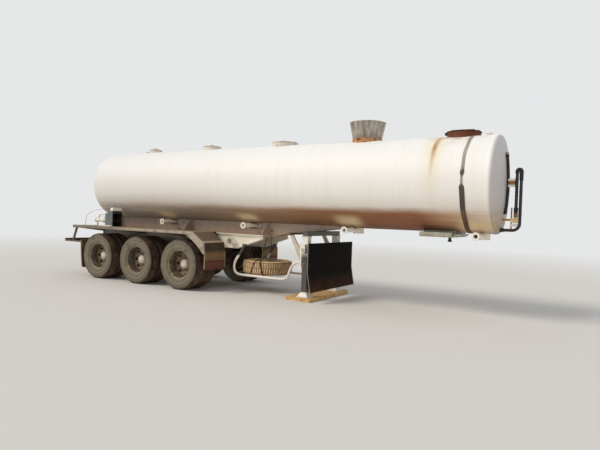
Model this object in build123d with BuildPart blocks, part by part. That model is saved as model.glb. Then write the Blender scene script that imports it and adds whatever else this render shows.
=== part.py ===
"""Tri-axle tanker semi-trailer, parked on its landing legs.

X runs forward, Y to the left and Z up, in millimetres. The origin lies on the
ground, halfway between the light bar at the tail and the hose at the nose.
Side distances are measured outwards from the centre line, right side first,
and most right-hand pieces are mirrored to the left.
"""
import os
from math import atan2, cos, degrees, pi, sin, sqrt

from build123d import *

os.makedirs("parts", exist_ok=True)

# Clearances
seat_gap = 0.3
slide_gap = 0.8
fit_gap = 0.1
turn_gap = 6.0

# Tank
tank_r = 793.0
tank_z = 2162.0
shell_wall = 6.0
shell_rear = -4435.0
shell_front = 4540.0
rear_crown_r = 1427.0
rear_knuckle_r = 270.0
front_crown_r = 4000.0
front_knuckle_r = 45.0

# Running gear
axle_x1 = -1225.0
axle_pitch = 1250.0
axle_count = 3
beam_size = 130.0
spindle_r = 42.0
brake_plate_r = 190.0
brake_plate_thick = 12.0

# Tyres and wheels
tyre_r = 505.0
tyre_width = 276.0
tyre_sides = 24
bead_r = 297.0
dual_pitch = 330.0
outer_tyre_side = 1100.0
rim_half = 112.0
rim_wall = 13.0
drop_r = 262.0
drop_half = 20.0
disc_thick = 14.0
disc_edge_r = 190.0
hand_hole_r = 26.0
hand_hole_ring = 208.0
hand_hole_count = 8
hub_r = 105.0
hub_reach = 130.0
hub_cap = 15.0
hub_flange = 20.0
hub_flange_r = disc_edge_r - disc_thick - 4
drum_r = 205.0
drum_wall = 16.0
drum_in = 655.0
drum_out = 855.0

# Springs
spring_half = 480.0
spring_camber = 55.0
leaf_count = 7
leaf_thick = 13.0
leaf_width = 76.0
leaf_step = 58.0

# Chassis
rail_side = 450.0
rail_web = 8.0
rail_flange = 110.0
flange_thick = 12.0
rail_bottom = 860.0
rail_top = 1150.0
rail_rear = -4560.0
rail_deep_end = -325.0
rail_front = 275.0
rail_nose_depth = 80.0
member_height = 140.0
member_top = 1130.0
cradle_side = 190.0
cradle_thick = 10.0
cradle_rear = -4380.0
cradle_lip = 80.0
gusset_places = (-4200.0, -1850.0, 255.0)
gusset_low = 1200.0
gusset_high = 1385.0
gusset_shoulder = 300.0
notch_floor = 1265.0
notch_behind = 130.0
notch_ahead = 180.0
cross_tube_x = -455.0
cross_tube_z = 1000.0
cross_tube_r = 75.0
cross_tube_wall = 8.0
cross_tube_end = 600.0

# Decks and guards over the wheels
deck_edge = 1250.0
deck_inner = 640.0
deck_top = 1170.0
deck_thick = 5.0
deck_lip = 60.0
deck_rear = -4605.0
deck_lip_front = -1035.0
bracket_width = 50.0
bracket_places = (-4540.0, -3100.0, -1850.0, -900.0)
guard_x = -850.0
guard_knee_x = -545.0
guard_knee_z = 972.0
guard_foot_x = -522.0
guard_foot_z = 760.0
web_r = 640.0
flap_thick = 12.0
flap_lap = 60.0
front_flap_x = -512.0
front_flap_z = 435.0
rear_flap_x = -4305.0
rear_flap_top = 830.0
rear_flap_foot_x = -4235.0
rear_flap_z = 190.0

# Tail
bar_tip = -4905.0
bar_depth = 60.0
bar_z = 780.0
bar_height = 70.0
tie_height = 30.0

# Landing legs
leg_x = 1355.0
leg_side = 580.0
leg_tube = 120.0
leg_wall = 6.0
leg_top = 1190.0
leg_mouth = 600.0
leg_overlap = 90.0
foot_size = 240.0
foot_thick = 12.0
shoe_height = 70.0
board_thick = 70.0
gear_z = 960.0
gear_width = 110.0
gear_depth = 90.0
gear_height = 170.0
cross_shaft_r = 16.0
crank_drop = 300.0

# Coupler
skid_rear = 3420.0
skid_front = 3950.0
skid_half = 450.0
skid_bottom = 1290.0
skid_thick = 12.0
kingpin_x = 3800.0
kingpin_neck_r = 25.4
kingpin_collar_r = 36.0
kingpin_reach = 84.0
kingpin_collar = 24.0
kingpin_flange_r = 60.0

# Outlets
outlet_z = 1330.0
outlet_r = 38.0
outlet_wall = 5.0
outlet_end = 600.0
outlet_flange_r = 62.0
outlet_flange_thick = 14.0
sump_r = 100.0
sump_drop = 60.0
outlet_places = (-2375.0, -115.0, 2115.0, 4345.0)

# Tank-top openings, each row: name, place, neck radius, neck height above the crown
hatch_table = (
    ("a", -3290.0, 135.0, 45.0),
    ("b", -1510.0, 185.0, 50.0),
    ("c", 425.0, 250.0, 50.0),
    ("d", 3965.0, 270.0, 60.0),
)
neck_wall = 10.0
neck_sink = 60.0
lid_thick = 16.0
lid_overhang = 12.0
hinge_pin_r = 8.0

# Filler funnel
funnel_x = 2225.0
funnel_base_r = 268.0
funnel_top_r = 335.0
funnel_height = 340.0
funnel_wall = 4.0
funnel_collar = 30.0

# Spare wheel and its carrier
spare_x = 95.0
spare_low = 352.0
hoop_r = 24.0
hoop_side = 550.0

# Nose pipework
pipe_r = 25.0
nose_pipe_top = 2680.0
nose_pipe_low = 1680.0
hose_r = 25.0
hose_reach = 4905.0
hose_fold = 60.0
hose_low = 1440.0
hose_high = 2400.0
hose_end = 1650.0


def keep(builder, name):
    """Label a finished piece and write it as its own file."""
    builder.part.label = name
    export_step(builder.part, "parts/" + name + ".step")


def face_on(plane, points):
    """Return the flat face with straight edges through the given points of a plane."""
    with BuildSketch(plane) as sketch:
        with BuildLine():
            Polyline(*points, close=True)
        make_face()
    return sketch.sketch.face()


def side_plate(points, side, thick, mode=Mode.ADD):
    """Extrude an outline of (x, z) points outwards from a side distance, on the right."""
    extrude(to_extrude=face_on(Plane.XZ.offset(side), points), amount=thick, mode=mode)


def box_between(x0, x1, y0, y1, z0, z1, mode=Mode.ADD):
    """Add a block between two corners."""
    with Locations(((x0 + x1) / 2, (y0 + y1) / 2, (z0 + z1) / 2)):
        Box(x1 - x0, y1 - y0, z1 - z0, mode=mode)


def cross_round(x, z, radius, side, length, mode=Mode.ADD):
    """Add a round bar that runs outwards from a side distance, on the right."""
    with BuildSketch(Plane.XZ.offset(side)) as disc:
        with Locations((x, z)):
            Circle(radius)
    extrude(to_extrude=disc.sketch.face(), amount=length, mode=mode)


def faceted_ring(profile, sides):
    """Return the solid that a closed profile of (side distance, radius) makes round the Y axis.

    Each row becomes a polygon with one flat towards the ground, so that the tyres stay
    light and stand still, and every face between two rows is flat.
    """
    step = 2 * pi / sides
    turns = [step * (i + 0.5) for i in range(sides)]
    rings = []
    for side, radius in profile:
        corner = radius / cos(step / 2)
        rings.append([(corner * sin(turn), -side, -corner * cos(turn)) for turn in turns])
    faces = []
    for near, far in zip(rings, rings[1:] + rings[:1]):
        for i in range(sides):
            j = (i + 1) % sides
            faces.append(Face(Wire.make_polygon([near[i], near[j], far[j], far[i]])))
    return Solid(Shell(faces))


def turned(profile):
    """Revolve a closed profile of (side distance, radius) about the Y axis."""
    with BuildSketch(Plane.YZ) as half_section:
        with BuildLine():
            Polyline(*[(-side, radius) for side, radius in profile], close=True)
        make_face()
    revolve(half_section.sketch.face(), axis=Axis.Y)


def clear_of_tank(gap=seat_gap):
    """Cut what is inside the tank, and a seat's clearance round it, from the piece being built."""
    with Locations(Location((0, 0, tank_z), (0, 90, 0))):
        Cylinder(tank_r + gap, 2 * (shell_front - shell_rear), mode=Mode.SUBTRACT)


def head_depth(crown, knuckle, radius=tank_r):
    """Return how far a dished head stands out from its tangent plane."""
    return crown - sqrt((crown - knuckle) ** 2 - (radius - knuckle) ** 2)


def head_face(tangent, crown, knuckle, way, radius):
    """Return half a dished head in the XZ plane: knuckle arc, crown arc and the axis."""
    depth = head_depth(crown, knuckle, radius)
    turn = (radius - knuckle) / (crown - knuckle)
    lean = atan2(turn, sqrt(1 - turn * turn))
    crown_x = depth - crown
    meet = (crown_x + crown * cos(lean), crown * sin(lean))
    half = (pi / 2 + lean) / 2
    knuckle_mid = (knuckle * cos(half), radius - knuckle + knuckle * sin(half))
    crown_mid = (crown_x + crown * cos(lean / 2), crown * sin(lean / 2))
    rim = (0.0, radius)
    apex = (depth, 0.0)

    def place(point):
        return (tangent + way * point[0], tank_z + point[1])

    with BuildSketch(Plane.XZ) as sketch:
        with BuildLine():
            ThreePointArc(place(rim), place(knuckle_mid), place(meet))
            ThreePointArc(place(meet), place(crown_mid), place(apex))
            Line(place(apex), place((0.0, 0.0)))
            Line(place((0.0, 0.0)), place(rim))
        make_face()
    return sketch.sketch.face()


def clear_of_front_head():
    """Cut what is inside the front head, and a seat's clearance, from the piece being built."""
    face = head_face(shell_front, front_crown_r + seat_gap, front_knuckle_r + seat_gap, 1, tank_r + seat_gap)
    revolve(face, axis=tank_axis, mode=Mode.SUBTRACT)


tank_axis = Axis((0, 0, tank_z), (1, 0, 0))
axle_places = [axle_x1 - axle_pitch * i for i in range(axle_count)]
tank_bottom = tank_z - tank_r
tank_top = tank_z + tank_r

# Tank barrel: rolled courses welded into one tube
with BuildPart() as barrel:
    with BuildSketch(Plane.YZ.offset(shell_rear)):
        with Locations((0, tank_z)):
            Circle(tank_r)
            Circle(tank_r - shell_wall, mode=Mode.SUBTRACT)
    extrude(amount=shell_front - shell_rear)
keep(barrel, "tank_barrel")

# Dished heads, each row: tangent plane, crown radius, knuckle radius, way it bulges
head_table = (
    (shell_rear, rear_crown_r, rear_knuckle_r, -1),
    (shell_front, front_crown_r, front_knuckle_r, 1),
)
with BuildPart() as heads:
    for tangent, crown, knuckle, way in head_table:
        revolve(head_face(tangent, crown, knuckle, way, tank_r), axis=tank_axis)
        revolve(head_face(tangent, crown - shell_wall, knuckle - shell_wall, way, tank_r - shell_wall),
                axis=tank_axis, mode=Mode.SUBTRACT)
keep(heads, "tank_heads")

# Hatch necks, each with a hinge block at its rear
with BuildPart() as necks:
    for name, place, radius, height in hatch_table:
        rim_z = tank_top + height
        hinge_x = place - radius - lid_overhang - 2 * hinge_pin_r
        with BuildSketch(Plane.XY.offset(tank_top - neck_sink)):
            with Locations((place, 0)):
                Circle(radius)
                Circle(radius - neck_wall, mode=Mode.SUBTRACT)
        extrude(amount=height + neck_sink)
        box_between(hinge_x - 12, place - radius + 4, -24, 24, rim_z - 26, rim_z - 10)
        box_between(hinge_x - 12, hinge_x + 12, -24, 24, rim_z - 10, rim_z + 14)
        with Locations(Location((hinge_x, 0, rim_z + 4), (90, 0, 0))):
            Cylinder(hinge_pin_r + 0.5, 60, mode=Mode.SUBTRACT)
    clear_of_tank()
keep(necks, "hatch_necks")

# Hatch lids, pinned behind their necks
for name, place, radius, height in hatch_table:
    rim_z = tank_top + height
    hinge_x = place - radius - lid_overhang - 2 * hinge_pin_r
    with BuildPart() as lid:
        with BuildSketch(Plane.XY.offset(rim_z + seat_gap)):
            with Locations((place, 0)):
                Circle(radius + lid_overhang)
        extrude(amount=lid_thick)
        with BuildSketch(Plane.XY.offset(rim_z + seat_gap + lid_thick)):
            with Locations((place, 0)):
                Circle(radius * 0.7)
        extrude(amount=lid_thick, taper=35)
        for way in (-1, 1):
            y0 = way * 38
            box_between(hinge_x - 12, place - radius, y0 - 10, y0 + 10, rim_z + 3, rim_z + 15)
        with Locations(Location((hinge_x, 0, rim_z + 4), (90, 0, 0))):
            Cylinder(hinge_pin_r, 96)
    keep(lid, "hatch_lid_" + name)

# Filler funnel, open at the top
with BuildPart() as funnel:
    with BuildSketch(Plane.XY.offset(tank_top - neck_sink)):
        with Locations((funnel_x, 0)):
            Circle(funnel_base_r)
    extrude(amount=neck_sink + funnel_collar)
    with BuildSketch(Plane.XY.offset(tank_top + funnel_collar)) as low:
        with Locations((funnel_x, 0)):
            Circle(funnel_base_r - 6)
    with BuildSketch(Plane.XY.offset(tank_top + funnel_height)) as high:
        with Locations((funnel_x, 0)):
            Circle(funnel_top_r)
    loft(ruled=True)
    with BuildSketch(Plane.XY.offset(tank_top + funnel_collar)):
        with Locations((funnel_x, 0)):
            Circle(funnel_base_r - 6 - funnel_wall)
    with BuildSketch(Plane.XY.offset(tank_top + funnel_height)):
        with Locations((funnel_x, 0)):
            Circle(funnel_top_r - funnel_wall)
    loft(ruled=True, mode=Mode.SUBTRACT)
    with BuildSketch(Plane.XY.offset(tank_top - neck_sink)):
        with Locations((funnel_x, 0)):
            Circle(funnel_base_r - 6 - funnel_wall)
    extrude(amount=neck_sink + funnel_collar, mode=Mode.SUBTRACT)
    clear_of_tank()
keep(funnel, "filler_funnel")

# Small vents, each row: place, radius, height
with BuildPart() as vents:
    for place, radius, height in ((-3565.0, 40.0, 30.0), (4370.0, 52.0, 55.0)):
        with BuildSketch(Plane.XY.offset(tank_top - neck_sink)):
            with Locations((place, 0)):
                Circle(radius * 0.6)
        extrude(amount=neck_sink + height * 0.6)
        with BuildSketch(Plane.XY.offset(tank_top + height * 0.6)):
            with Locations((place, 0)):
                Circle(radius)
        extrude(amount=height * 0.4)
    clear_of_tank()
keep(vents, "roof_vents")

# Drain band down the right side, below the front hatch
band_x = 4155.0
band_width = 80.0
band_thick = 6.0
with BuildPart() as band:
    with BuildSketch(Plane.YZ.offset(band_x - band_width / 2)):
        with Locations((0, tank_z)):
            Circle(tank_r + seat_gap + band_thick)
            Circle(tank_r + seat_gap, mode=Mode.SUBTRACT)
            with Locations((tank_r, 0)):
                Rectangle(2 * tank_r, 3 * tank_r, mode=Mode.SUBTRACT)
    extrude(amount=band_width)
keep(band, "drain_band")

# Cradle webs that carry the tank on the cross members, each row of the lower edge: x, z
cradle_edge = (
    (cradle_rear, member_top),
    (rail_front, member_top),
    (1020.0, 1240.0),
    (1840.0, 1350.0),
    (2000.0, 1460.0),
)
with BuildPart() as cradle:
    outline = [(x, z + seat_gap) for x, z in cradle_edge]
    outline += [(cradle_edge[-1][0], tank_z), (cradle_rear, tank_z)]
    side_plate(outline, cradle_side - cradle_thick / 2, cradle_thick)
    lip = [(x, z + seat_gap) for x, z in cradle_edge[1:]]
    lip += [(x, z + seat_gap + cradle_thick) for x, z in reversed(cradle_edge[1:])]
    side_plate(lip, cradle_side - cradle_lip / 2, cradle_lip)
    gusset = [(-cradle_side, rail_top + seat_gap), (-rail_side, rail_top + seat_gap), (-rail_side, gusset_low)]
    gusset += [(-gusset_shoulder, gusset_high), (-cradle_side, gusset_high)]
    for place in gusset_places:
        extrude(to_extrude=face_on(Plane.YZ.offset(place - cradle_thick / 2), gusset), amount=cradle_thick)
    for place in outlet_places[:2]:
        box_between(place - notch_behind, place + notch_ahead, -cradle_side - cradle_thick,
                    cradle_thick - cradle_side, notch_floor, tank_z, Mode.SUBTRACT)
    clear_of_tank()
    mirror(about=Plane.XZ)
keep(cradle, "cradle_webs")

# Chassis rails: welded beams with a tapered nose
with BuildPart() as rails:
    nose_z = rail_top - rail_nose_depth
    outline = [(rail_rear, rail_bottom), (rail_deep_end, rail_bottom), (rail_front, nose_z)]
    outline += [(rail_front, rail_top), (rail_rear, rail_top)]
    side_plate(outline, rail_side - rail_web / 2, rail_web)
    top = [(rail_rear, rail_top - flange_thick), (rail_front, rail_top - flange_thick)]
    top += [(rail_front, rail_top), (rail_rear, rail_top)]
    side_plate(top, rail_side - rail_flange / 2, rail_flange)
    low = [(rail_rear, rail_bottom), (rail_deep_end, rail_bottom), (rail_front, nose_z)]
    low += [(rail_front, nose_z + flange_thick), (rail_deep_end, rail_bottom + flange_thick)]
    low += [(rail_rear, rail_bottom + flange_thick)]
    side_plate(low, rail_side - rail_flange / 2, rail_flange)
    cross_round(cross_tube_x, cross_tube_z, cross_tube_r + seat_gap, rail_side - 100, 200, Mode.SUBTRACT)
    mirror(about=Plane.XZ)
keep(rails, "chassis_rails")

# Cross members between the rails
cross_places = (-4500.0, -3600.0, -2750.0, -1900.0, -1050.0, -200.0)
cross_half = rail_side - rail_web / 2 - seat_gap
member_z = member_top - member_height / 2
member_low = member_top - member_height
with BuildPart() as cross:
    for place in cross_places:
        with BuildSketch(Plane.XZ.offset(-cross_half)):
            with Locations((place, member_z)):
                Rectangle(60, member_height)
            with Locations((place + 6, member_z)):
                Rectangle(60, member_height - 16, mode=Mode.SUBTRACT)
        extrude(amount=2 * cross_half)
    cross_round(cross_tube_x, cross_tube_z, cross_tube_r, -cross_tube_end, 2 * cross_tube_end)
    cross_round(cross_tube_x, cross_tube_z, cross_tube_r - cross_tube_wall,
                -cross_tube_end, 2 * cross_tube_end, Mode.SUBTRACT)
keep(cross, "cross_members")

# Bottom outlets: a sump under each compartment with a flanged pipe to the right
with BuildPart() as outlets:
    for place in outlet_places:
        with BuildSketch(Plane.XY.offset(outlet_z - sump_drop)):
            with Locations((place, 0)):
                Circle(sump_r)
        extrude(amount=tank_z - outlet_z)
        cross_round(place, outlet_z, outlet_r, 0, outlet_end)
        cross_round(place, outlet_z, outlet_flange_r, outlet_end - outlet_flange_thick, outlet_flange_thick)
        cross_round(place, outlet_z, outlet_r - outlet_wall, sump_r * 0.5, outlet_end, Mode.SUBTRACT)
    clear_of_tank()
keep(outlets, "outlet_pipes")

# Coupler: skid plate with the frame that joins it to the tank, and the kingpin
skid_top = skid_bottom + skid_thick
skid_nose = 60.0
skid_rise = 45.0
coupler_wall = 10.0
coupler_height = 65.0
coupler_web_side = 200.0
coupler_web_half = 230.0
with BuildPart() as skid:
    box_between(skid_rear, skid_front, -skid_half, skid_half, skid_bottom, skid_top)
    nose = [(skid_front, skid_bottom), (skid_front + skid_nose, skid_bottom + skid_rise)]
    nose += [(skid_front + skid_nose, skid_top + skid_rise), (skid_front, skid_top)]
    side_plate(nose, -skid_half, 2 * skid_half)
    box_between(skid_rear, skid_front, -skid_half, skid_half, skid_top, skid_top + coupler_height)
    box_between(skid_rear + coupler_wall, skid_front - coupler_wall, coupler_wall - skid_half,
                skid_half - coupler_wall, skid_top, skid_top + coupler_height, Mode.SUBTRACT)
    for place in (skid_rear + coupler_wall / 2, kingpin_x, skid_front - coupler_wall / 2):
        box_between(place - coupler_wall / 2, place + coupler_wall / 2, -skid_half, skid_half,
                    skid_top, skid_top + coupler_height)
        box_between(place - coupler_wall / 2, place + coupler_wall / 2, -coupler_web_half, coupler_web_half,
                    skid_top, tank_bottom + 60)
    for side in (-coupler_web_side, coupler_web_side):
        box_between(skid_rear, skid_front, side - coupler_wall / 2, side + coupler_wall / 2,
                    skid_top, tank_bottom + 60)
    with BuildSketch(Plane.XY.offset(skid_bottom)):
        with Locations((kingpin_x, 0)):
            Circle(kingpin_flange_r + seat_gap)
    extrude(amount=skid_thick, mode=Mode.SUBTRACT)
    clear_of_tank()
keep(skid, "skid_plate")

# The kingpin's flange lies in a hole of the skid plate, under the frame's middle web
kingpin_tip = skid_bottom - kingpin_reach
kingpin_steps = (
    (kingpin_tip, kingpin_collar_r, kingpin_collar),
    (kingpin_tip, kingpin_neck_r, kingpin_reach + seat_gap),
    (skid_bottom + seat_gap, kingpin_flange_r, skid_thick - 2 * seat_gap),
)
with BuildPart() as kingpin:
    for low, radius, height in kingpin_steps:
        with BuildSketch(Plane.XY.offset(low)):
            with Locations((kingpin_x, 0)):
                Circle(radius)
        extrude(amount=height)
keep(kingpin, "kingpin")

# Leaf springs: slipper packs over the axles, the longest leaf on top
seat_top = tyre_r + beam_size / 2 + 30
pack_top = seat_top + leaf_count * leaf_thick + seat_gap
arc_r = (spring_half ** 2 + spring_camber ** 2) / (2 * spring_camber)
tip_turn = spring_half / arc_r
with BuildPart() as springs:
    for place in axle_places:
        arc_z = pack_top + arc_r
        for leaf in range(leaf_count):
            reach = spring_half - leaf * leaf_step
            turn = reach / arc_r
            upper = arc_r + leaf * leaf_thick
            lower = upper + leaf_thick
            with BuildSketch(Plane.XZ.offset(rail_side - leaf_width / 2)):
                with BuildLine():
                    a = (place - upper * sin(turn), arc_z - upper * cos(turn))
                    b = (place + upper * sin(turn), arc_z - upper * cos(turn))
                    c = (place + lower * sin(turn), arc_z - lower * cos(turn))
                    d = (place - lower * sin(turn), arc_z - lower * cos(turn))
                    ThreePointArc(a, (place, arc_z - upper), b)
                    Line(b, c)
                    ThreePointArc(c, (place, arc_z - lower), d)
                    Line(d, a)
                make_face()
            extrude(amount=leaf_width)
    mirror(about=Plane.XZ)
keep(springs, "leaf_springs")

# Spring hangers under the rails and the equalisers that rock in the middle ones
eye_z = pack_top + arc_r * (1 - cos(tip_turn))
hanger_half = 60.0
equaliser_z = eye_z + 45
pivot_r = 20.0
arm_pin_z = eye_z - 100
arm_pin_r = 14.0
arm_eye_r = 30.0
arm_bar_r = 18.0
arm_foot_x = beam_size / 2 + 40
arm_foot_z = tyre_r + 15
hanger_low = arm_pin_z - arm_eye_r - 4
hanger_places = [axle_places[0] + spring_half, axle_places[-1] - spring_half]
rocker_places = [(a + b) / 2 for a, b in zip(axle_places, axle_places[1:])]
cheek_gap = leaf_width / 2 + 3
cheek_thick = 10.0
with BuildPart() as hangers:
    for place in hanger_places + rocker_places:
        top_z = rail_bottom - seat_gap
        wide = hanger_half + 30
        cheek = [(place - wide, top_z), (place + wide, top_z)]
        cheek += [(place + hanger_half, hanger_low), (place - hanger_half, hanger_low)]
        side_plate(cheek, rail_side - cheek_gap - cheek_thick, cheek_thick)
        side_plate(cheek, rail_side + cheek_gap, cheek_thick)
        lid = [(place - wide, top_z), (place + wide, top_z)]
        lid += [(place + wide - 2, top_z - 12), (place - wide + 2, top_z - 12)]
        side_plate(lid, rail_side - cheek_gap, 2 * cheek_gap)
    for place in hanger_places:
        pad = [(place - 40, eye_z + seat_gap), (place + 40, eye_z + seat_gap)]
        pad += [(place + 40, eye_z + 21), (place - 40, eye_z + 21)]
        side_plate(pad, rail_side - cheek_gap, 2 * cheek_gap)
    pin_start = rail_side - cheek_gap - cheek_thick - 8
    pin_length = 2 * (rail_side - pin_start)
    for place in rocker_places:
        cross_round(place, equaliser_z, pivot_r, pin_start, pin_length)
    for place in hanger_places[:1] + rocker_places:
        cross_round(place, arm_pin_z, arm_pin_r, pin_start, pin_length)
    mirror(about=Plane.XZ)
keep(hangers, "spring_hangers")

with BuildPart() as rockers:
    rocker_half = axle_pitch / 2 - spring_half + 45
    rocker_pad = rocker_half - 75
    for place in rocker_places:
        shape = [(place - rocker_half, eye_z + seat_gap), (place - rocker_half, eye_z + 22)]
        shape += [(place - 50, equaliser_z + 40), (place + 50, equaliser_z + 40)]
        shape += [(place + rocker_half, eye_z + 22), (place + rocker_half, eye_z + seat_gap)]
        shape += [(place + rocker_pad, eye_z + seat_gap), (place + 50, equaliser_z - 34)]
        shape += [(place - 50, equaliser_z - 34), (place - rocker_pad, eye_z + seat_gap)]
        side_plate(shape, rail_side - leaf_width / 2, leaf_width)
        cross_round(place, equaliser_z, pivot_r + seat_gap, rail_side - leaf_width, 2 * leaf_width,
                    Mode.SUBTRACT)
    mirror(about=Plane.XZ)
keep(rockers, "equalisers")

# Torque arms, one under each spring: the hanger's pin holds the front eye and the axle the rear one
with BuildPart() as arms:
    for place, pin_x in zip(axle_places, hanger_places[:1] + rocker_places):
        eyes = ((place + arm_foot_x, arm_foot_z), (pin_x, arm_pin_z))
        for x, z in eyes:
            cross_round(x, z, arm_eye_r, rail_side - cheek_gap + seat_gap, 2 * (cheek_gap - seat_gap))
        run_x = pin_x - eyes[0][0]
        run_z = arm_pin_z - arm_foot_z
        middle = ((pin_x + eyes[0][0]) / 2, -rail_side, (arm_pin_z + arm_foot_z) / 2)
        with Locations(Location(middle, (0, degrees(atan2(run_x, run_z)), 0))):
            Cylinder(arm_bar_r, sqrt(run_x ** 2 + run_z ** 2))
        for x, z in eyes:
            cross_round(x, z, arm_pin_r + seat_gap, rail_side - 2 * cheek_gap, 4 * cheek_gap, Mode.SUBTRACT)
    mirror(about=Plane.XZ)
keep(arms, "torque_arms")

# Axles: square beam, spring seats, brackets for the torque arms, brake plates and spindles
mount_side = outer_tyre_side - dual_pitch / 2
spindle_end = outer_tyre_side - 60
beam_end = drum_in - turn_gap
with BuildPart() as axles:
    for place in axle_places:
        box_between(place - beam_size / 2, place + beam_size / 2, -beam_end + 20, beam_end - 20,
                    tyre_r - beam_size / 2, tyre_r + beam_size / 2)
        for way in (-1, 1):
            box_between(place - 90, place + 90, way * rail_side - 45, way * rail_side + 45,
                        tyre_r + beam_size / 2 - 5, seat_top)
            for inner in (-cheek_gap - cheek_thick, cheek_gap):
                y0 = way * rail_side + inner
                box_between(place + beam_size / 2 - 5, place + arm_foot_x + arm_eye_r, y0, y0 + cheek_thick,
                            arm_foot_z - arm_eye_r, arm_foot_z + arm_eye_r)
            cross_round(place + arm_foot_x, arm_foot_z, arm_pin_r, way * rail_side - cheek_gap - cheek_thick,
                        2 * (cheek_gap + cheek_thick))
        for side in (-beam_end, beam_end - brake_plate_thick):
            cross_round(place, tyre_r, brake_plate_r, side, brake_plate_thick)
        cross_round(place, tyre_r, spindle_r, -spindle_end, 2 * spindle_end)
keep(axles, "axles")

# Brake chambers behind the axles, each with the camshaft that reaches its brake plate
chamber_r = 72.0
chamber_length = 135.0
chamber_side = 330.0
chamber_plate = 12.0
camshaft_r = 17.0
with BuildPart() as chambers:
    for place in axle_places:
        face_x = place - beam_size / 2 - seat_gap
        box_between(face_x - chamber_plate, face_x, -chamber_side - 60, 60 - chamber_side,
                    tyre_r - 60, tyre_r + 60)
        middle = (face_x - chamber_plate - chamber_length / 2, -chamber_side, tyre_r)
        with Locations(Location(middle, (0, 90, 0))):
            Cylinder(chamber_r, chamber_length)
        cross_round(face_x - 40, tyre_r, camshaft_r, chamber_side,
                    beam_end - brake_plate_thick - seat_gap - chamber_side)
    mirror(about=Plane.XZ)
keep(chambers, "brake_chambers")

# Air reservoir strapped under a cross member
reservoir_r = 100.0
reservoir_half = 340.0
strap_side = 200.0
strap_width = 40.0
strap_thick = 5.0
reservoir_x = cross_places[4]
reservoir_z = member_low - seat_gap - strap_thick - reservoir_r
with BuildPart() as reservoir:
    with Locations(Location((reservoir_x, 0, reservoir_z), (90, 0, 0))):
        Cylinder(reservoir_r, 2 * reservoir_half)
    fillet(reservoir.edges().filter_by(GeomType.CIRCLE), 45)
    for side in (-strap_side, strap_side):
        with Locations(Location((reservoir_x, side, reservoir_z), (90, 0, 0))):
            Cylinder(reservoir_r + strap_thick, strap_width)
        box_between(reservoir_x - 25, reservoir_x + 25, side - strap_width / 2, side + strap_width / 2,
                    reservoir_z, member_low - seat_gap)
keep(reservoir, "air_reservoir")

# One tyre about the Y axis, each row: distance from its middle, radius
tread_half = tyre_width / 2 - 36
shoulder_half = tyre_width / 2 - 18
shoulder_r = tyre_r - 22
widest_r = tyre_r - 85
bead_half = tyre_width / 2 - 16
tyre_profile = (
    (-tyre_width / 2, widest_r),
    (-shoulder_half, shoulder_r),
    (-tread_half, tyre_r),
    (tread_half, tyre_r),
    (shoulder_half, shoulder_r),
    (tyre_width / 2, widest_r),
    (bead_half, bead_r),
    (-bead_half, bead_r),
)
tyre_ring = faceted_ring(tyre_profile, tyre_sides)

# One dished disc wheel, each row: distance outwards from its mounting face, radius
tyre_middle = dual_pitch / 2
flange_r = bead_r - seat_gap
disc_profile = (
    (seat_gap, hub_r + seat_gap),
    (seat_gap, disc_edge_r),
    (tyre_middle - 59, drop_r - 12),
    (tyre_middle - rim_half, flange_r - rim_wall),
    (tyre_middle - rim_half, flange_r),
    (tyre_middle - drop_half, drop_r),
    (tyre_middle + drop_half, drop_r),
    (tyre_middle + rim_half, flange_r),
    (tyre_middle + rim_half, flange_r - rim_wall),
    (tyre_middle + drop_half + 4, drop_r - 10),
    (tyre_middle - 45, drop_r - 25),
    (disc_thick, disc_edge_r - disc_thick),
    (disc_thick, hub_r + seat_gap),
)
with BuildPart() as disc_wheel:
    turned(disc_profile)
    with BuildSketch(Plane.XZ):
        with PolarLocations(hand_hole_ring, hand_hole_count):
            Circle(hand_hole_r)
    extrude(amount=tyre_middle, mode=Mode.SUBTRACT)

# Hub and brake drum in one, each row: side distance, radius
flange_side = mount_side - disc_thick - seat_gap
hub_end = mount_side + hub_reach
hub_profile = (
    (hub_end + hub_cap, 0),
    (hub_end + hub_cap, hub_r - 1.5 * hub_cap),
    (hub_end, hub_r),
    (flange_side, hub_r),
    (flange_side, hub_flange_r),
    (flange_side - hub_flange, hub_flange_r),
    (flange_side - hub_flange, hub_r + 15),
    (drum_out, hub_r + 15),
    (drum_out, drum_r),
    (drum_in, drum_r),
    (drum_in, drum_r - drum_wall),
    (drum_out - 12, drum_r - drum_wall),
    (drum_out - 12, spindle_r + fit_gap),
    (spindle_end + 8, spindle_r + fit_gap),
    (spindle_end + 8, 0),
)
with BuildPart() as hub:
    turned(hub_profile)

# Wheel sets: twin tyres on two disc wheels back to back, turning with their hub
with BuildPart() as twin_tyres:
    for side in (outer_tyre_side, outer_tyre_side - dual_pitch):
        with Locations((0, -side, tyre_r)):
            add(tyre_ring)

with BuildPart() as twin_wheel:
    for turn in (0, 180):
        with Locations(Location((0, -mount_side, tyre_r), (0, 0, turn))):
            add(disc_wheel.part)
    with Locations((0, 0, tyre_r)):
        add(hub.part)

for index, place in enumerate(axle_places, 1):
    for tag, way in (("r", 1), ("l", -1)):
        for master, name in ((twin_tyres, "tyres_"), (twin_wheel, "wheel_")):
            with BuildPart() as copy:
                with Locations((place, 0, 0)):
                    add(master.part)
                if way < 0:
                    mirror(about=Plane.XZ, mode=Mode.REPLACE)
            keep(copy, name + tag + str(index))

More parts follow.
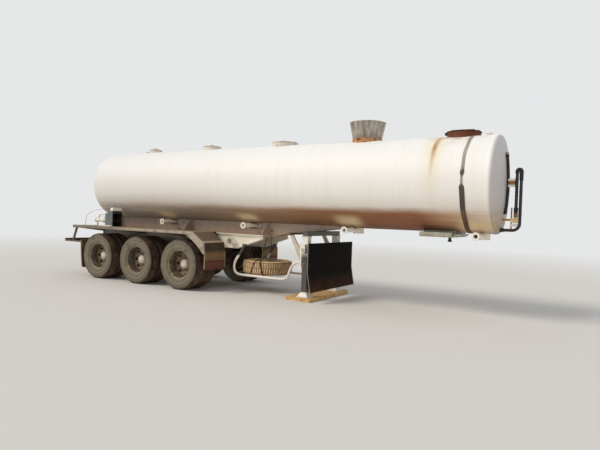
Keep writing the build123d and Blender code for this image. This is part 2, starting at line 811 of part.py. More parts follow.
# Decks over the wheels with the front guards, and posts from the decks' rear corners to the tail
post_x = -4505.0
post_wide = 50.0
post_thick = 30.0
post_lean = 145.0
with BuildPart() as decks:
    upper = [(deck_rear, deck_top), (guard_x, deck_top)]
    upper += [(guard_knee_x, guard_knee_z), (guard_foot_x, guard_foot_z)]
    under = [(x - deck_thick, z - deck_thick) for x, z in upper]
    under[0] = (deck_rear, deck_top - deck_thick)
    side_plate(upper + under[::-1], deck_inner, deck_edge - deck_inner)
    lip = [(deck_rear, deck_top - deck_lip), (deck_lip_front, deck_top - deck_lip)]
    lip += [(deck_lip_front, deck_top), (deck_rear, deck_top)]
    side_plate(lip, deck_edge - deck_thick, deck_thick)
    web_face = rail_side + rail_web / 2 + seat_gap
    flange_edge = rail_side + rail_flange / 2
    arm = [(-web_face, rail_top - 120), (-web_face, rail_top - flange_thick - seat_gap)]
    arm += [(-flange_edge - 4, rail_top - flange_thick - seat_gap), (-flange_edge - 4, deck_top - 1)]
    arm += [(-deck_edge + 2, deck_top - 1), (-deck_edge + 2, deck_top - 50)]
    for place in bracket_places:
        extrude(to_extrude=face_on(Plane.YZ.offset(place - bracket_width / 2), arm), amount=bracket_width)
    with BuildSketch(Plane.XZ.offset(deck_edge - deck_thick)):
        with BuildLine():
            lip_end = (deck_lip_front, deck_top - deck_lip)
            web_foot = (guard_foot_x - 40, guard_foot_z)
            web_turn = pi / 4
            web_middle = (axle_x1 + web_r * cos(web_turn), tyre_r + web_r * sin(web_turn))
            Polyline(web_foot, (guard_foot_x, guard_foot_z), (guard_knee_x, guard_knee_z),
                     (guard_x, deck_top), (deck_lip_front, deck_top), lip_end)
            ThreePointArc(lip_end, web_middle, web_foot)
        make_face()
    extrude(amount=deck_thick)
    post_top = deck_top - deck_thick + 1
    post_foot = bar_z + tie_height + seat_gap
    post = [(post_x, post_top), (post_x + post_wide, post_top)]
    post += [(post_x + post_wide - post_lean, post_foot), (post_x - post_lean, post_foot)]
    side_plate(post, deck_edge - post_wide, post_thick)
    mirror(about=Plane.XZ)
keep(decks, "wheel_decks")

# Rubber flaps: the front ones bolted to the guards, the rear ones to the flap bars
slope_x = guard_foot_x - guard_knee_x
slope_z = guard_foot_z - guard_knee_z
slope = sqrt(slope_x ** 2 + slope_z ** 2)
along = (slope_x / slope, slope_z / slope)
out = (-along[1], along[0])
with BuildPart() as flaps:
    low_x, low_z = guard_foot_x + seat_gap * out[0], guard_foot_z + seat_gap * out[1]
    high_x, high_z = low_x - flap_lap * along[0], low_z - flap_lap * along[1]
    side_plate([(high_x, high_z), (high_x + flap_thick * out[0], high_z + flap_thick * out[1]),
                (low_x + flap_thick * out[0], low_z + flap_thick * out[1]),
                (front_flap_x + flap_thick, front_flap_z), (front_flap_x, front_flap_z), (low_x, low_z)],
               deck_inner, deck_edge - deck_inner)
    side_plate([(rear_flap_x, rear_flap_top), (rear_flap_x + flap_thick, rear_flap_top),
                (rear_flap_foot_x + flap_thick, rear_flap_z), (rear_flap_foot_x, rear_flap_z),
                (rear_flap_x, rear_flap_top - 60)], deck_inner, deck_edge - deck_inner)
    mirror(about=Plane.XZ)
keep(flaps, "mudflaps")

# Light bar at the tail, on arms from the rails, tied to the flap bars at its ends
flap_bar_x = rear_flap_x - seat_gap - 45
with BuildPart() as tail:
    box_between(bar_tip, bar_tip + bar_depth, -deck_edge, deck_edge, bar_z, bar_z + bar_height)
    for way in (-1, 1):
        side = way * rail_side
        box_between(bar_tip + bar_depth, rear_flap_x - seat_gap, side - 30, side + 30,
                    bar_z, rail_bottom - seat_gap)
        near, far = sorted((side, way * deck_edge))
        box_between(flap_bar_x, rear_flap_x - seat_gap, near, far, bar_z, bar_z + 50)
        near, far = sorted((way * (deck_edge - 40), way * deck_edge))
        box_between(bar_tip + bar_depth, flap_bar_x, near, far, bar_z, bar_z + tie_height)
keep(tail, "light_bar")

with BuildPart() as lamps:
    for side in (-1120.0, -900.0, 900.0, 1120.0):
        box_between(bar_tip + bar_depth, bar_tip + bar_depth + 30, side - 70, side + 70,
                    bar_z, bar_z + bar_height)
keep(lamps, "tail_lamps")

# Cabinet on the right deck, open to the front
cab_rear = -3785.0
cab_front = -3535.0
cab_near = 730.0
cab_far = 1000.0
cab_height = 300.0
cab_wall = 4.0
with BuildPart() as cabinet:
    low = deck_top + seat_gap
    box_between(cab_rear, cab_front, -cab_far, -cab_near, low, low + cab_height)
    box_between(cab_rear + cab_wall, cab_front + 1, cab_wall - cab_far, -cab_near - cab_wall,
                low + cab_wall, low + cab_height - cab_wall, Mode.SUBTRACT)
keep(cabinet, "valve_cabinet")

# Pipework behind the cabinet: a discharge pipe with an open end ring, and a bypass bent over it
pipework_side = 900.0
discharge_z = 1305.0
discharge_r = 36.0
discharge_end = -4226.0
bypass_z = 1445.0
bypass_r = 22.0
bypass_x = -4140.0
bypass_bend = 90.0
ring_r = 52.0
ring_thick = 18.0
open_depth = 120.0
cabinet_back = cab_rear - seat_gap
with BuildPart() as pipework:
    with Locations(Location(((cabinet_back + discharge_end) / 2, -pipework_side, discharge_z), (0, 90, 0))):
        Cylinder(discharge_r, cabinet_back - discharge_end)
    with Locations(Location((discharge_end + ring_thick / 2, -pipework_side, discharge_z), (0, 90, 0))):
        Cylinder(ring_r, ring_thick)
    with BuildLine(Plane.XZ.offset(pipework_side)) as route:
        FilletPolyline((bypass_x, discharge_z), (bypass_x, bypass_z), (cabinet_back, bypass_z),
                       radius=bypass_bend)
    with BuildSketch(Plane(origin=(bypass_x, -pipework_side, discharge_z), z_dir=(0, 0, 1))):
        Circle(bypass_r)
    sweep(path=route.wires()[0])
    with Locations(Location((discharge_end + open_depth / 2, -pipework_side, discharge_z), (0, 90, 0))):
        Cylinder(discharge_r - outlet_wall, open_depth, mode=Mode.SUBTRACT)
    box_between(bypass_x - 60, bypass_x - 30, -pipework_side - 15, 15 - pipework_side, deck_top + seat_gap,
                discharge_z - discharge_r + 6)
keep(pipework, "cabinet_pipework")

# Landing legs
inner_tube = leg_tube - 2 * leg_wall - 2 * slide_gap
foot_low = board_thick + seat_gap
edge_start, edge_end = cradle_edge[2], cradle_edge[3]
edge_slope = (edge_end[1] - edge_start[1]) / (edge_end[0] - edge_start[0])
bolster_half = 50.0
bolster_top = edge_start[1] + (leg_x - bolster_half - edge_start[0]) * edge_slope
with BuildPart() as leg_tubes:
    low, high = leg_side - leg_tube / 2, leg_side + leg_tube / 2
    box_between(leg_x - leg_tube / 2, leg_x + leg_tube / 2, -high, -low, leg_mouth, leg_top)
    box_between(leg_x - leg_tube / 2 + leg_wall, leg_x + leg_tube / 2 - leg_wall, -high + leg_wall,
                -low - leg_wall, leg_mouth, leg_top - leg_wall, Mode.SUBTRACT)
    mirror(about=Plane.XZ)
    box_between(leg_x - bolster_half, leg_x + bolster_half, -high, high, leg_top, bolster_top)
keep(leg_tubes, "leg_tubes")

# Leg gear: a gearbox on the right leg, its folded crank, and the shaft across to the left leg
gear_face = leg_side + leg_tube / 2 + seat_gap
shaft_half = leg_side - leg_tube / 2 - seat_gap
crank_reach = 35.0
crank_thick = 12.0
crank_half = 14.0
crank_pin_r = 13.0
handle_length = 90.0
crank_side = gear_face + gear_depth + crank_reach
with BuildPart() as leg_gear:
    box_between(leg_x - gear_width / 2, leg_x + gear_width / 2, -gear_face - gear_depth, -gear_face,
                gear_z - gear_height / 2, gear_z + gear_height / 2)
    cross_round(leg_x, gear_z, crank_pin_r, gear_face + gear_depth, crank_reach + crank_thick)
    crank = [(leg_x - crank_half, gear_z + 18), (leg_x + crank_half, gear_z + 18)]
    crank += [(leg_x + crank_half, gear_z - crank_drop), (leg_x - crank_half, gear_z - crank_drop)]
    side_plate(crank, crank_side, crank_thick)
    cross_round(leg_x, gear_z - crank_drop + 16, crank_pin_r, crank_side - handle_length, handle_length + 2)
    cross_round(leg_x, gear_z, cross_shaft_r, -shaft_half, 2 * shaft_half)
keep(leg_gear, "leg_gear")

for tag, way in (("r", 1), ("l", -1)):
    with BuildPart() as inner:
        box_between(leg_x - inner_tube / 2, leg_x + inner_tube / 2, -leg_side - inner_tube / 2,
                    -leg_side + inner_tube / 2, foot_low + foot_thick, leg_mouth + leg_overlap)
        box_between(leg_x - foot_size / 2, leg_x + foot_size / 2, -leg_side - foot_size / 2,
                    -leg_side + foot_size / 2, foot_low, foot_low + foot_thick)
        with BuildSketch(Plane.XY.offset(foot_low + foot_thick)):
            with Locations((leg_x, -leg_side)):
                Rectangle(foot_size - 30, foot_size - 30)
        extrude(amount=shoe_height, taper=30)
        if way < 0:
            mirror(about=Plane.XZ, mode=Mode.REPLACE)
    keep(inner, "leg_foot_" + tag)

# Braces from the legs up to a bar under the cradle
brace_side = leg_side + 6
brace_thick = 40.0
bar_rear = edge_start[0] - 30
bar_front = edge_start[0] + 20
bar_low = 1200.0
bar_top = edge_start[1] - 30 * (edge_start[1] - member_top) / (edge_start[0] - rail_front)
with BuildPart() as braces:
    brace = [(bar_rear + 5, bar_low + 20), (bar_front - 5, bar_low + 20)]
    brace += [(leg_x - leg_tube / 2 - seat_gap, 700.0), (leg_x - leg_tube / 2 - seat_gap, 640.0)]
    side_plate(brace, brace_side, brace_thick)
    mirror(about=Plane.XZ)
    box_between(bar_rear, bar_front, -brace_side - brace_thick, brace_side + brace_thick, bar_low, bar_top)
keep(braces, "leg_braces")

with BuildPart() as boards:
    for x0, x1, y0, y1 in ((1010.0, 1270.0, -700.0, 900.0), (1275.0, 1535.0, -720.0, 860.0)):
        box_between(x0, x1, y0, y1, 0, board_thick)
keep(boards, "timber_packers")

# Stone guard in front of the legs
guard_sheet_x = 1565.0
guard_sheet = 6.0
guard_sheet_half = 890.0
guard_sheet_lean = 70.0
with BuildPart() as stone_guard:
    sheet = [(guard_sheet_x, 1070.0), (guard_sheet_x, 560.0), (guard_sheet_x + guard_sheet_lean, 200.0)]
    sheet += [(x + guard_sheet, z) for x, z in reversed(sheet)]
    side_plate(sheet, -guard_sheet_half, 2 * guard_sheet_half)
    for way in (-1, 1):
        side = way * leg_side
        box_between(leg_x + leg_tube / 2 + seat_gap, guard_sheet_x, side - 25, side + 25, 900, 950)
keep(stone_guard, "stone_guard")

# Spare wheel lying flat in its pipe carrier, its disc upwards
spare_z = spare_low + tyre_width / 2
with BuildPart() as spare_tyre:
    with Locations(Location((spare_x, 0, spare_z), (90, 0, 0))):
        add(tyre_ring)
keep(spare_tyre, "spare_tyre")

with BuildPart() as spare_rim:
    with Locations(Location((spare_x, 0, spare_z + tyre_middle), (90, 0, 0))):
        add(disc_wheel.part)
keep(spare_rim, "spare_rim")

hoop_front = leg_x - leg_tube / 2 - seat_gap
with BuildPart() as carrier:
    with BuildLine(Plane.XZ.offset(hoop_side)) as route:
        FilletPolyline((-275, 884), (-275, 620), (-150, 345), (850, 345), (1130, 700), (hoop_front, 700),
                       radius=(120, 120, 120, 80))
    with BuildSketch(Plane(origin=(-275, -hoop_side, 884), z_dir=(0, 0, -1))):
        Circle(hoop_r)
    sweep(path=route.wires()[0])
    box_between(-310, -240, -hoop_side - hoop_r, -flange_edge - seat_gap, 878, 900)
    mirror(about=Plane.XZ)
    for place in (-130.0, 320.0):
        box_between(place - 25, place + 25, -hoop_side, hoop_side, 330, spare_low - seat_gap)
keep(carrier, "spare_carrier")

# Nose: a pipe down the head's middle, brackets and a hose folded over them
apex_x = shell_front + head_depth(front_crown_r, front_knuckle_r)
nose_pipe_x = apex_x + pipe_r + 3
hose_front = hose_reach - hose_r
hose_back = hose_front - hose_fold
with BuildPart() as nose_pipe:
    with Locations((nose_pipe_x, 0, (nose_pipe_top + nose_pipe_low) / 2)):
        Cylinder(pipe_r, nose_pipe_top - nose_pipe_low)
    for z0, z1 in ((2125.0, 2160.0), (2220.0, 2255.0)):
        box_between(nose_pipe_x, hose_back - hose_r - seat_gap, -30, 30, z0, z1)
    box_between(shell_front, hose_back, -25, 25, hose_end - 60, hose_end - 30)
    with Locations((hose_back, 0, hose_end - 45 - seat_gap)):
        Cylinder(hose_r + 8, 90)
    for z in (nose_pipe_top - 60, nose_pipe_low + 60):
        box_between(shell_front, nose_pipe_x, -20, 20, z - 15, z + 15)
    with Locations(Location((shell_front + 45, 0, hose_low), (0, 90, 0))):
        Cylinder(hose_r + 12, 90)
    clear_of_front_head()
keep(nose_pipe, "nose_pipe")

with BuildPart() as hose:
    start_x = shell_front + 90 + seat_gap
    with BuildLine(Plane.XZ) as route:
        FilletPolyline((start_x, hose_low), (hose_front, hose_low), (hose_front, hose_high),
                       (hose_back, hose_high), (hose_back, hose_end),
                       radius=(110, hose_fold / 2 - 1, hose_fold / 2 - 1))
    with BuildSketch(Plane(origin=(start_x, 0, hose_low), z_dir=(1, 0, 0))):
        Circle(hose_r)
    sweep(path=route.wires()[0])
keep(hose, "nose_hose")
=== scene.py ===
"""A tri-axle tanker semi-trailer on its landing legs, dressed over its CAD model."""
from math import cos, pi, radians, sin

import bmesh
import bpy
import numpy as np
from mathutils import Matrix


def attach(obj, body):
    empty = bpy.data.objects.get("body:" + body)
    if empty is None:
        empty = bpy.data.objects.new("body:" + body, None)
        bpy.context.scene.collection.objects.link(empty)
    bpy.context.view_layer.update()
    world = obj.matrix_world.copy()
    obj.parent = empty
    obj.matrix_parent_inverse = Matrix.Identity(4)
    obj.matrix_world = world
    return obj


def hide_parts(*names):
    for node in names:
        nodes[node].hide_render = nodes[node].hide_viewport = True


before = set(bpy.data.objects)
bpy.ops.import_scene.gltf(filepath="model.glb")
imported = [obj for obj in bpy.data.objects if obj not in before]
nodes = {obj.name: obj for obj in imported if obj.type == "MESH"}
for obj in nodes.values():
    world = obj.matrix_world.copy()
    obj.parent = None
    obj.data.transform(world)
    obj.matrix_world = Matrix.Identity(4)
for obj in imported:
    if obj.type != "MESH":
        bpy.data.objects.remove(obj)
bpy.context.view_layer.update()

# The studio: a seamless pale floor under an even overcast sky, at a level at which a
# colour renders about as it is written, and one broad soft sun from behind on the right.


def linear(code):
    """Turn an sRGB hex code into linear red, green and blue, with an alpha of 1."""
    part = np.array([int(code[i:i + 2], 16) for i in (1, 3, 5)]) / 255
    return (*np.where(part <= 0.04045, part / 12.92, ((part + 0.055) / 1.055) ** 2.4).tolist(),
            1.0)


def add_node(tree, kind, inputs=None, stops=None, **settings):
    """Add a shader node, set its properties, and give its inputs values or links.

    An input that is a hex code becomes a linear colour, and stops are the positions
    and hex codes, or grey levels, of a colour ramp.
    """
    made = tree.nodes.new("ShaderNode" + kind)
    for name, value in settings.items():
        setattr(made, name, value)
    for name, value in (inputs or {}).items():
        if isinstance(value, bpy.types.NodeSocket):
            tree.links.new(value, made.inputs[name])
        else:
            made.inputs[name].default_value = linear(value) if isinstance(value, str) else value
    for i, (position, value) in enumerate(stops or ()):
        elements = made.color_ramp.elements
        stop = elements[i] if i < 2 else elements.new(position)
        stop.position = position
        stop.color = linear(value) if isinstance(value, str) else (value, value, value, 1.0)
    return made


def fed(kind, inputs, out=0, stops=None, **settings):
    """Add a node to the tree of the first socket among its inputs, and return its output."""
    source = next(value for value in inputs.values() if isinstance(value, bpy.types.NodeSocket))
    return add_node(source.id_data, kind, inputs, stops, **settings).outputs[out]


def scaled(value, from_min, from_max, to_min=0.0, to_max=1.0, kind="LINEAR"):
    """Carry the range from_min to from_max over to to_min to to_max, and hold it at its ends."""
    ends = {"From Min": from_min, "From Max": from_max, "To Min": to_min, "To Max": to_max}
    return fed("MapRange", {"Value": value, **ends}, interpolation_type=kind)


def reckon(operation, *values, clamp=False):
    """Work out one Math operation; clamp holds what it gives between 0 and 1."""
    return fed("Math", dict(enumerate(values)), operation=operation, use_clamp=clamp)


backdrop = "#E6E7E8"
world = bpy.data.worlds.new("pale studio")
bpy.context.scene.world = world
world.use_nodes = True
tree = world.node_tree
tree.nodes.clear()
rays = add_node(tree, "LightPath").outputs
seen = reckon("MAXIMUM", rays["Is Camera Ray"], rays["Is Glossy Ray"])
seen = reckon("MAXIMUM", seen, rays["Is Transmission Ray"])
sky = add_node(tree, "Background", {"Color": "#F3F5F8", "Strength": 0.6})
pale = add_node(tree, "Background", {"Color": backdrop, "Strength": 1.0})
either = fed("MixShader", {0: seen, 1: sky.outputs[0], 2: pale.outputs[0]})
add_node(tree, "OutputWorld", {"Surface": either})

sun = bpy.data.objects.new("soft sun", bpy.data.lights.new("soft sun", "SUN"))
sun.data.energy = 1.6
sun.data.angle = radians(22)
sun.data.color = linear("#FFF6EA")[:3]
sun.rotation_euler = (radians(47), 0, radians(-38))
bpy.context.scene.collection.objects.link(sun)

floor_data = bpy.data.meshes.new("floor")
reach = 60.0
corners = [(-reach, -reach, 0), (reach, -reach, 0), (reach, reach, 0), (-reach, reach, 0)]
floor_data.from_pydata(corners, [], [(0, 1, 2, 3)])
floor = bpy.data.objects.new("floor", floor_data)
bpy.context.scene.collection.objects.link(floor)
paper = bpy.data.materials.new("pale studio floor")
paper.use_nodes = True
tree = paper.node_tree
tree.nodes.clear()
where = add_node(tree, "TexCoord").outputs["Object"]
far = fed("VectorMath", {0: where}, out="Value", operation="LENGTH")
rays = add_node(tree, "LightPath").outputs
fade = reckon("MULTIPLY", scaled(far, 9.0, 24.0), rays["Is Camera Ray"])
matt = add_node(tree, "BsdfDiffuse", {"Color": "#DEDCD8"})
glow = add_node(tree, "Emission", {"Color": backdrop})
either = fed("MixShader", {0: fade, 1: matt.outputs[0], 2: glow.outputs[0]})
add_node(tree, "OutputMaterial", {"Surface": either})
floor_data.materials.append(paper)

# The camera stands off the right front corner at a walker's eye height, level but for a
# slight roll, as the photograph was taken.
yaw, pitch, roll = radians(31.558), radians(-0.781), radians(2.06)
ahead = np.array([-sin(yaw) * cos(pitch), cos(yaw) * cos(pitch), sin(pitch)])
level = np.array([cos(yaw), sin(yaw), 0.0])
above = np.cross(level, ahead)
across = cos(roll) * level + sin(roll) * above
upward = cos(roll) * above - sin(roll) * level
camera = bpy.data.objects.new("camera", bpy.data.cameras.new("camera"))
stand = np.eye(4)
stand[:3] = np.stack([across, upward, -ahead, (6.111, -8.579, 1.515)], 1)
camera.matrix_world = Matrix(stand.tolist())
camera.data.lens = 30.485
camera.data.sensor_width = 36.0
camera.data.clip_end = 300.0
bpy.context.scene.collection.objects.link(camera)
bpy.context.scene.camera = camera
bpy.context.scene.view_settings.view_transform = "Standard"

# Chassis rails and cross members: welded steel beams sprayed with white machine enamel,
# greyed by weather and furred with red road dust below, with painted shade behind the
# front of the decks.


def open_finish(name, roughness, metallic=0.0):
    """Start a material: return it, its Principled shader and its Object coordinates."""
    finish = bpy.data.materials.new(name)
    finish.use_nodes = True
    tree = finish.node_tree
    tree.nodes.clear()
    shader = add_node(tree, "BsdfPrincipled", {"Roughness": roughness, "Metallic": metallic})
    add_node(tree, "OutputMaterial", {"Surface": shader.outputs[0]})
    return finish, shader, add_node(tree, "TexCoord").outputs["Object"]


def noise(where, scale, detail, roughness=0.5, distortion=0.0):
    """A cloudy noise, with so many clouds to the metre."""
    inputs = {"Vector": where, "Scale": scale, "Detail": detail, "Roughness": roughness,
              "Distortion": distortion}
    return fed("TexNoise", inputs)


def split(vector):
    """The three parts of a vector."""
    return fed("SeparateXYZ", {0: vector}).node.outputs


def mix(share, low, high, blend="MIX"):
    """Go from the colour low to the colour high as the share goes from 0 to 1."""
    return fed("Mix", {0: share, 6: low, 7: high}, out=2, data_type="RGBA", blend_type=blend)


def feed(shader, name, value):
    """Link a value to one input of the shader."""
    shader.id_data.links.new(value, shader.inputs[name])


def carve(shader, height, strength, distance):
    """Roughen the surface by a height."""
    feed(shader, "Normal",
         fed("Bump", {"Height": height, "Strength": strength, "Distance": distance}))


def either_way(cloud, most):
    """Turn a noise into a shift of up to so much either way."""
    return scaled(cloud, 0.3, 0.7, -most, most)


# The second tone darkens bands of some finishes: painted shade on the frame and legs, part grease
# on the sliding feet.
rust_brown, dark_band_tone = "#6B3F26", "#372D25"


def sprayed_enamel(name, paint, shade, dust, low, high, settled=0.55, rust=0.7, roughness=0.42,
                   dark_bands=()):
    """Machine enamel on welded steel, with two tones in patches a hand wide.

    Dust thickens from the height high down to low, and lies on what faces up; rust shows
    in freckles of 1 to 2 cm where a fine noise passes the level rust. For each row of dark
    bands a dark tone thickens along an axis, from one place on it to another: painted shade
    on the frame and legs, and part grease on the sliding feet.
    """
    finish, shader, where = open_finish(name, roughness)
    place, facing = split(where), split(where.node.outputs["Normal"])
    tone = mix(scaled(noise(where, 5.0, 6.0, 0.62), 0.35, 0.68), paint, shade)
    grit = noise(where, 38.0, 5.0, 0.7)
    below = scaled(place[2], low, high, 0.72, 0.0)
    lying = scaled(facing[2], 0.55, 1.0, 0.0, settled)
    load = reckon("MAXIMUM", below, lying)
    load = reckon("ADD", load, either_way(grit, 0.22), clamp=True)
    fleck = scaled(noise(where, 70.0, 3.0, 0.55), rust, rust + 0.04)
    body = mix(fleck, mix(load, tone, dust), rust_brown)
    # On the frame and legs each dark band is painted shade; on the sliding feet it is part grease.
    for axis, clean, black in dark_bands:
        body = mix(scaled(place[axis], clean, black, 0.0, 0.93), body, dark_band_tone)
    feed(shader, "Base Color", body)
    feed(shader, "Roughness", scaled(load, 0.0, 1.0, roughness, 0.88))
    carve(shader, grit, 0.25, 0.0015)
    return finish


def dress(finish, *names):
    """Give a finish to CAD nodes whose shape is right as it is."""
    for name in names:
        nodes[name].data.materials.clear()
        nodes[name].data.materials.append(finish)


# Behind the decks' front the rails and cross members darken: painted shade under the decks.
frame_white = sprayed_enamel("white machine enamel, painted shade behind", "#FBF6E6",
                             "#F0E8D4", "#A98A6C", 0.5, 0.84, 0.3, 0.72, dark_bands=[(0, -0.98, -1.3)])
dress(frame_white, "chassis_rails", "cross_members")

# Coupler plate and bottom outlets: a thick plate in its welded frame, grey-green under the
# dust, and white enamelled sumps with cross pipes to the right side.
coupler_grey = sprayed_enamel("grey-green enamel on thick plate, rusted at its edges", "#B9BDA9",
                              "#9A9A86", "#8C5A3A", 1.26, 1.33, 0.2, 0.6)
dress(coupler_grey, "skid_plate")
outlet_white = sprayed_enamel("white enamel on outlet pipes", "#FFFAEE", "#F4E9D8", "#C4A68A",
                              1.18, 1.3, 0.1, 0.7)
dress(outlet_white, "outlet_pipes")

# Cradle webs: long steel plates between rails and tank, in grey primer that the dust has
# turned brown along the bottom.
cradle_grey = sprayed_enamel("grey primer on steel plate", "#BCAB9C", "#A7937F", "#BE9A7C", 1.1,
                             1.36, 0.3, 0.68, 0.6)
dress(cradle_grey, "cradle_webs")

# The tank: rolled steel courses butt-welded into a barrel, with a deep dished head behind
# and a shallow flanged head in front, sprayed white over the whole.


def grid(points, wrap_u=False, wrap_v=False):
    """Return points and quads between the neighbours of a (u, v) array of points.

    A wrapped direction joins its last row to its first.
    """
    index = np.arange(points.shape[0] * points.shape[1]).reshape(points.shape[:2])
    if wrap_u:
        index = np.vstack([index, index[:1]])
    if wrap_v:
        index = np.hstack([index, index[:, :1]])
    quads = np.stack([index[:-1, :-1], index[1:, :-1], index[1:, 1:], index[:-1, 1:]], -1)
    return points.reshape(-1, 3), [quads.reshape(-1, 4)]


def turns(count):
    """Equal turns that make up a round, the first at zero."""
    return np.arange(count) * 2 * pi / count


def spun(profile, count, axis=2, centre=(0.0, 0.0, 0.0), closed=False):
    """Turn a profile of (distance along the axis, radius) into a surface of revolution.

    Point k of turn i stands at the profile's distance along the axis and at its radius
    times the cosine and sine of the i-th of count equal turns.
    """
    turn = turns(count)
    along, radius = np.asarray(profile, float).T
    points = np.zeros((count, len(along), 3)) + centre
    points[..., axis] += along
    points[..., (axis + 1) % 3] += radius * np.cos(turn)[:, None]
    points[..., (axis + 2) % 3] += radius * np.sin(turn)[:, None]
    return grid(points, wrap_u=True, wrap_v=closed)


def tidied(shape):
    """Merge the points that meet, drop faces without area and turn all faces outwards."""
    draft = bpy.data.meshes.new("draft")
    draft.from_pydata(shape[0].tolist(), [], [row for part in shape[1] for row in part.tolist()])
    form = bmesh.new()
    form.from_mesh(draft)
    bmesh.ops.remove_doubles(form, verts=form.verts, dist=0.00003)
    bmesh.ops.dissolve_degenerate(form, edges=form.edges, dist=0.00002)
    bmesh.ops.recalc_face_normals(form, faces=form.faces)
    form.to_mesh(draft)
    form.free()
    points = np.empty(len(draft.vertices) * 3)
    draft.vertices.foreach_get("co", points)
    corner = np.empty(len(draft.loops), int)
    draft.loops.foreach_get("vertex_index", corner)
    size = np.empty(len(draft.polygons), int)
    draft.polygons.foreach_get("loop_total", size)
    start = np.cumsum(size) - size
    faces = [corner[start[size == n][:, None] + np.arange(n)] for n in np.unique(size)]
    bpy.data.meshes.remove(draft)
    return points.reshape(-1, 3), faces


def piece(name, shape, finish, body="trailer", soft=32.0):
    """Make a shape a mesh object that rides on a body; edges sharper than soft stay crisp."""
    mesh = bpy.data.meshes.new(name)
    mesh.from_pydata(shape[0].tolist(), [], [row for part in shape[1] for row in part.tolist()])
    mesh.polygons.foreach_set("use_smooth", np.ones(len(mesh.polygons), bool))
    mesh.set_sharp_from_angle(angle=radians(soft))
    mesh.materials.append(finish)
    made = bpy.data.objects.new(name, mesh)
    bpy.context.scene.collection.objects.link(made)
    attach(made, body)
    return made


def ramp(value, stops):
    """Run through the colours or grey levels at stops as the value rises."""
    return fed("ValToRGB", {0: value}, stops=stops)


def stretched(where, scale):
    """Coordinates times a number on each axis, so that a noise over them comes out in streaks."""
    return fed("Mapping", {"Vector": where, "Scale": scale})


tank_r = 0.793
tank_z = 2.162
barrel_rear, barrel_front = -4.435, 4.54
course = 1.462
seam_x = 3.64 - course * np.arange(6)


def head_profile(crown, knuckle, count):
    """A dished head's half section: the knuckle's arc in from the rim, then the crown's."""
    lean = np.arcsin((tank_r - knuckle) / (crown - knuckle))
    bend = np.linspace(pi / 2, lean, count)
    bowl = np.linspace(lean, 0, count)
    depth = crown - np.sqrt((crown - knuckle) ** 2 - (tank_r - knuckle) ** 2)
    rim = np.stack([knuckle * np.cos(bend), tank_r - knuckle + knuckle * np.sin(bend)], 1)
    dish = np.stack([depth - crown + crown * np.cos(bowl), crown * np.sin(bowl)], 1)
    return np.concatenate([rim, dish[1:]])


rear_head = head_profile(1.427, 0.27, 14)[::-1] * (-1, 1) + (barrel_rear, 0)
front_head = head_profile(4.0, 0.045, 9) + (barrel_front, 0)
weld = np.linspace(-0.012, 0.012, 7)
run = np.unique(np.concatenate([np.linspace(barrel_rear + 0.02, barrel_front - 0.06, 44),
                                (seam_x[:, None] + weld).ravel()]))
bead = 0.0022 * np.exp(-((run[:, None] - seam_x) / 0.006) ** 2).sum(1)
barrel = np.stack([run, tank_r + bead], 1)
rim_lap = np.array([(4.492, 0), (4.494, 0.0035), (4.5, 0.005), (4.53, 0.005),
                    (4.537, 0.0035)]) + (0, tank_r)
tank_skin = np.concatenate([rear_head, barrel, rim_lap, front_head])
tank_shape = tidied(spun(tank_skin, 176, axis=0, centre=(0, 0, tank_z)))

# Sprayed white enamel that has chalked: bright and a little glossy above, cream lower
# down, a sharp edge to a brown belly, part dust and part painted reflection of red earth,
# and rust running from the seam at the front.
tank_enamel, shader, where = open_finish("chalked white enamel on rolled steel", 0.36)
place = split(where)
rise = scaled(place[2], tank_z - tank_r, tank_z + tank_r)
drift = noise(stretched(where, (0.55, 2.2, 3.0)), 2.0, 5.0, 0.55)
rise = reckon("ADD", rise, either_way(drift, 0.012), clamp=True)
clean = ramp(rise, [(0.19, "#E6DACA"), (0.26, "#F5EEE3"), (0.36, "#FAF6EF"), (0.5, "#F9F6F0"),
                    (0.68, "#FAF9F6"), (1.0, "#F9F9F6")])
cool = scaled(place[0], 1.0, -4.5, 0.0, 0.55)
clean = mix(cool, clean, "#EAEBEC", "MULTIPLY")
fall = stretched(where, (16.0, 0.7, 0.9))
rain = scaled(noise(fall, 1.0, 6.0, 0.6), 0.48, 0.74, 0.0, 0.13)
clean = mix(rain, clean, "#CFC6B2")
along = scaled(place[0], barrel_rear, barrel_front)
# The belly's brown is part dust and part a painted reflection of red earth, and it is darker
# towards the very bottom.
belly = ramp(along, [(0.0, "#DCD1C3"), (0.3, "#BBAA96"), (0.48, "#A98A6E"), (0.7, "#A37148"),
                     (0.88, "#9C6240"), (0.95, "#DCB48C"), (1.0, "#EFDDC9")])
smear = noise(stretched(where, (0.7, 7.0, 12.0)), 1.6, 6.0, 0.6)
belly = mix(0.75, belly, ramp(smear, [(0.3, 0.74), (0.7, 1.18)]), "MULTIPLY")
under = ramp(rise, [(0.0, 0.62), (0.07, 0.8), (0.17, 1.0)])
belly = mix(1.0, belly, under, "MULTIPLY")

# Pale patches on the belly, one over each outlet: a painted highlight of light thrown up from the
# outlets.
first_outlet, half_pitch = 4.345, 1.12
beat = reckon("WRAP", reckon("SUBTRACT", place[0], first_outlet), half_pitch, -half_pitch)
beat = reckon("ABSOLUTE", beat)
wide = scaled(beat, 0.04, 0.4, 1.0, 0.0, kind="SMOOTHERSTEP")
tall = ramp(rise, [(0.01, 0.0), (0.06, 1.0), (0.09, 1.0), (0.15, 0.0)])
belly = mix(reckon("MULTIPLY", wide, tall), belly, "#E6CDA2")
edge = scaled(rise, 0.246, 0.16, kind="SMOOTHSTEP")
body = mix(edge, clean, belly)

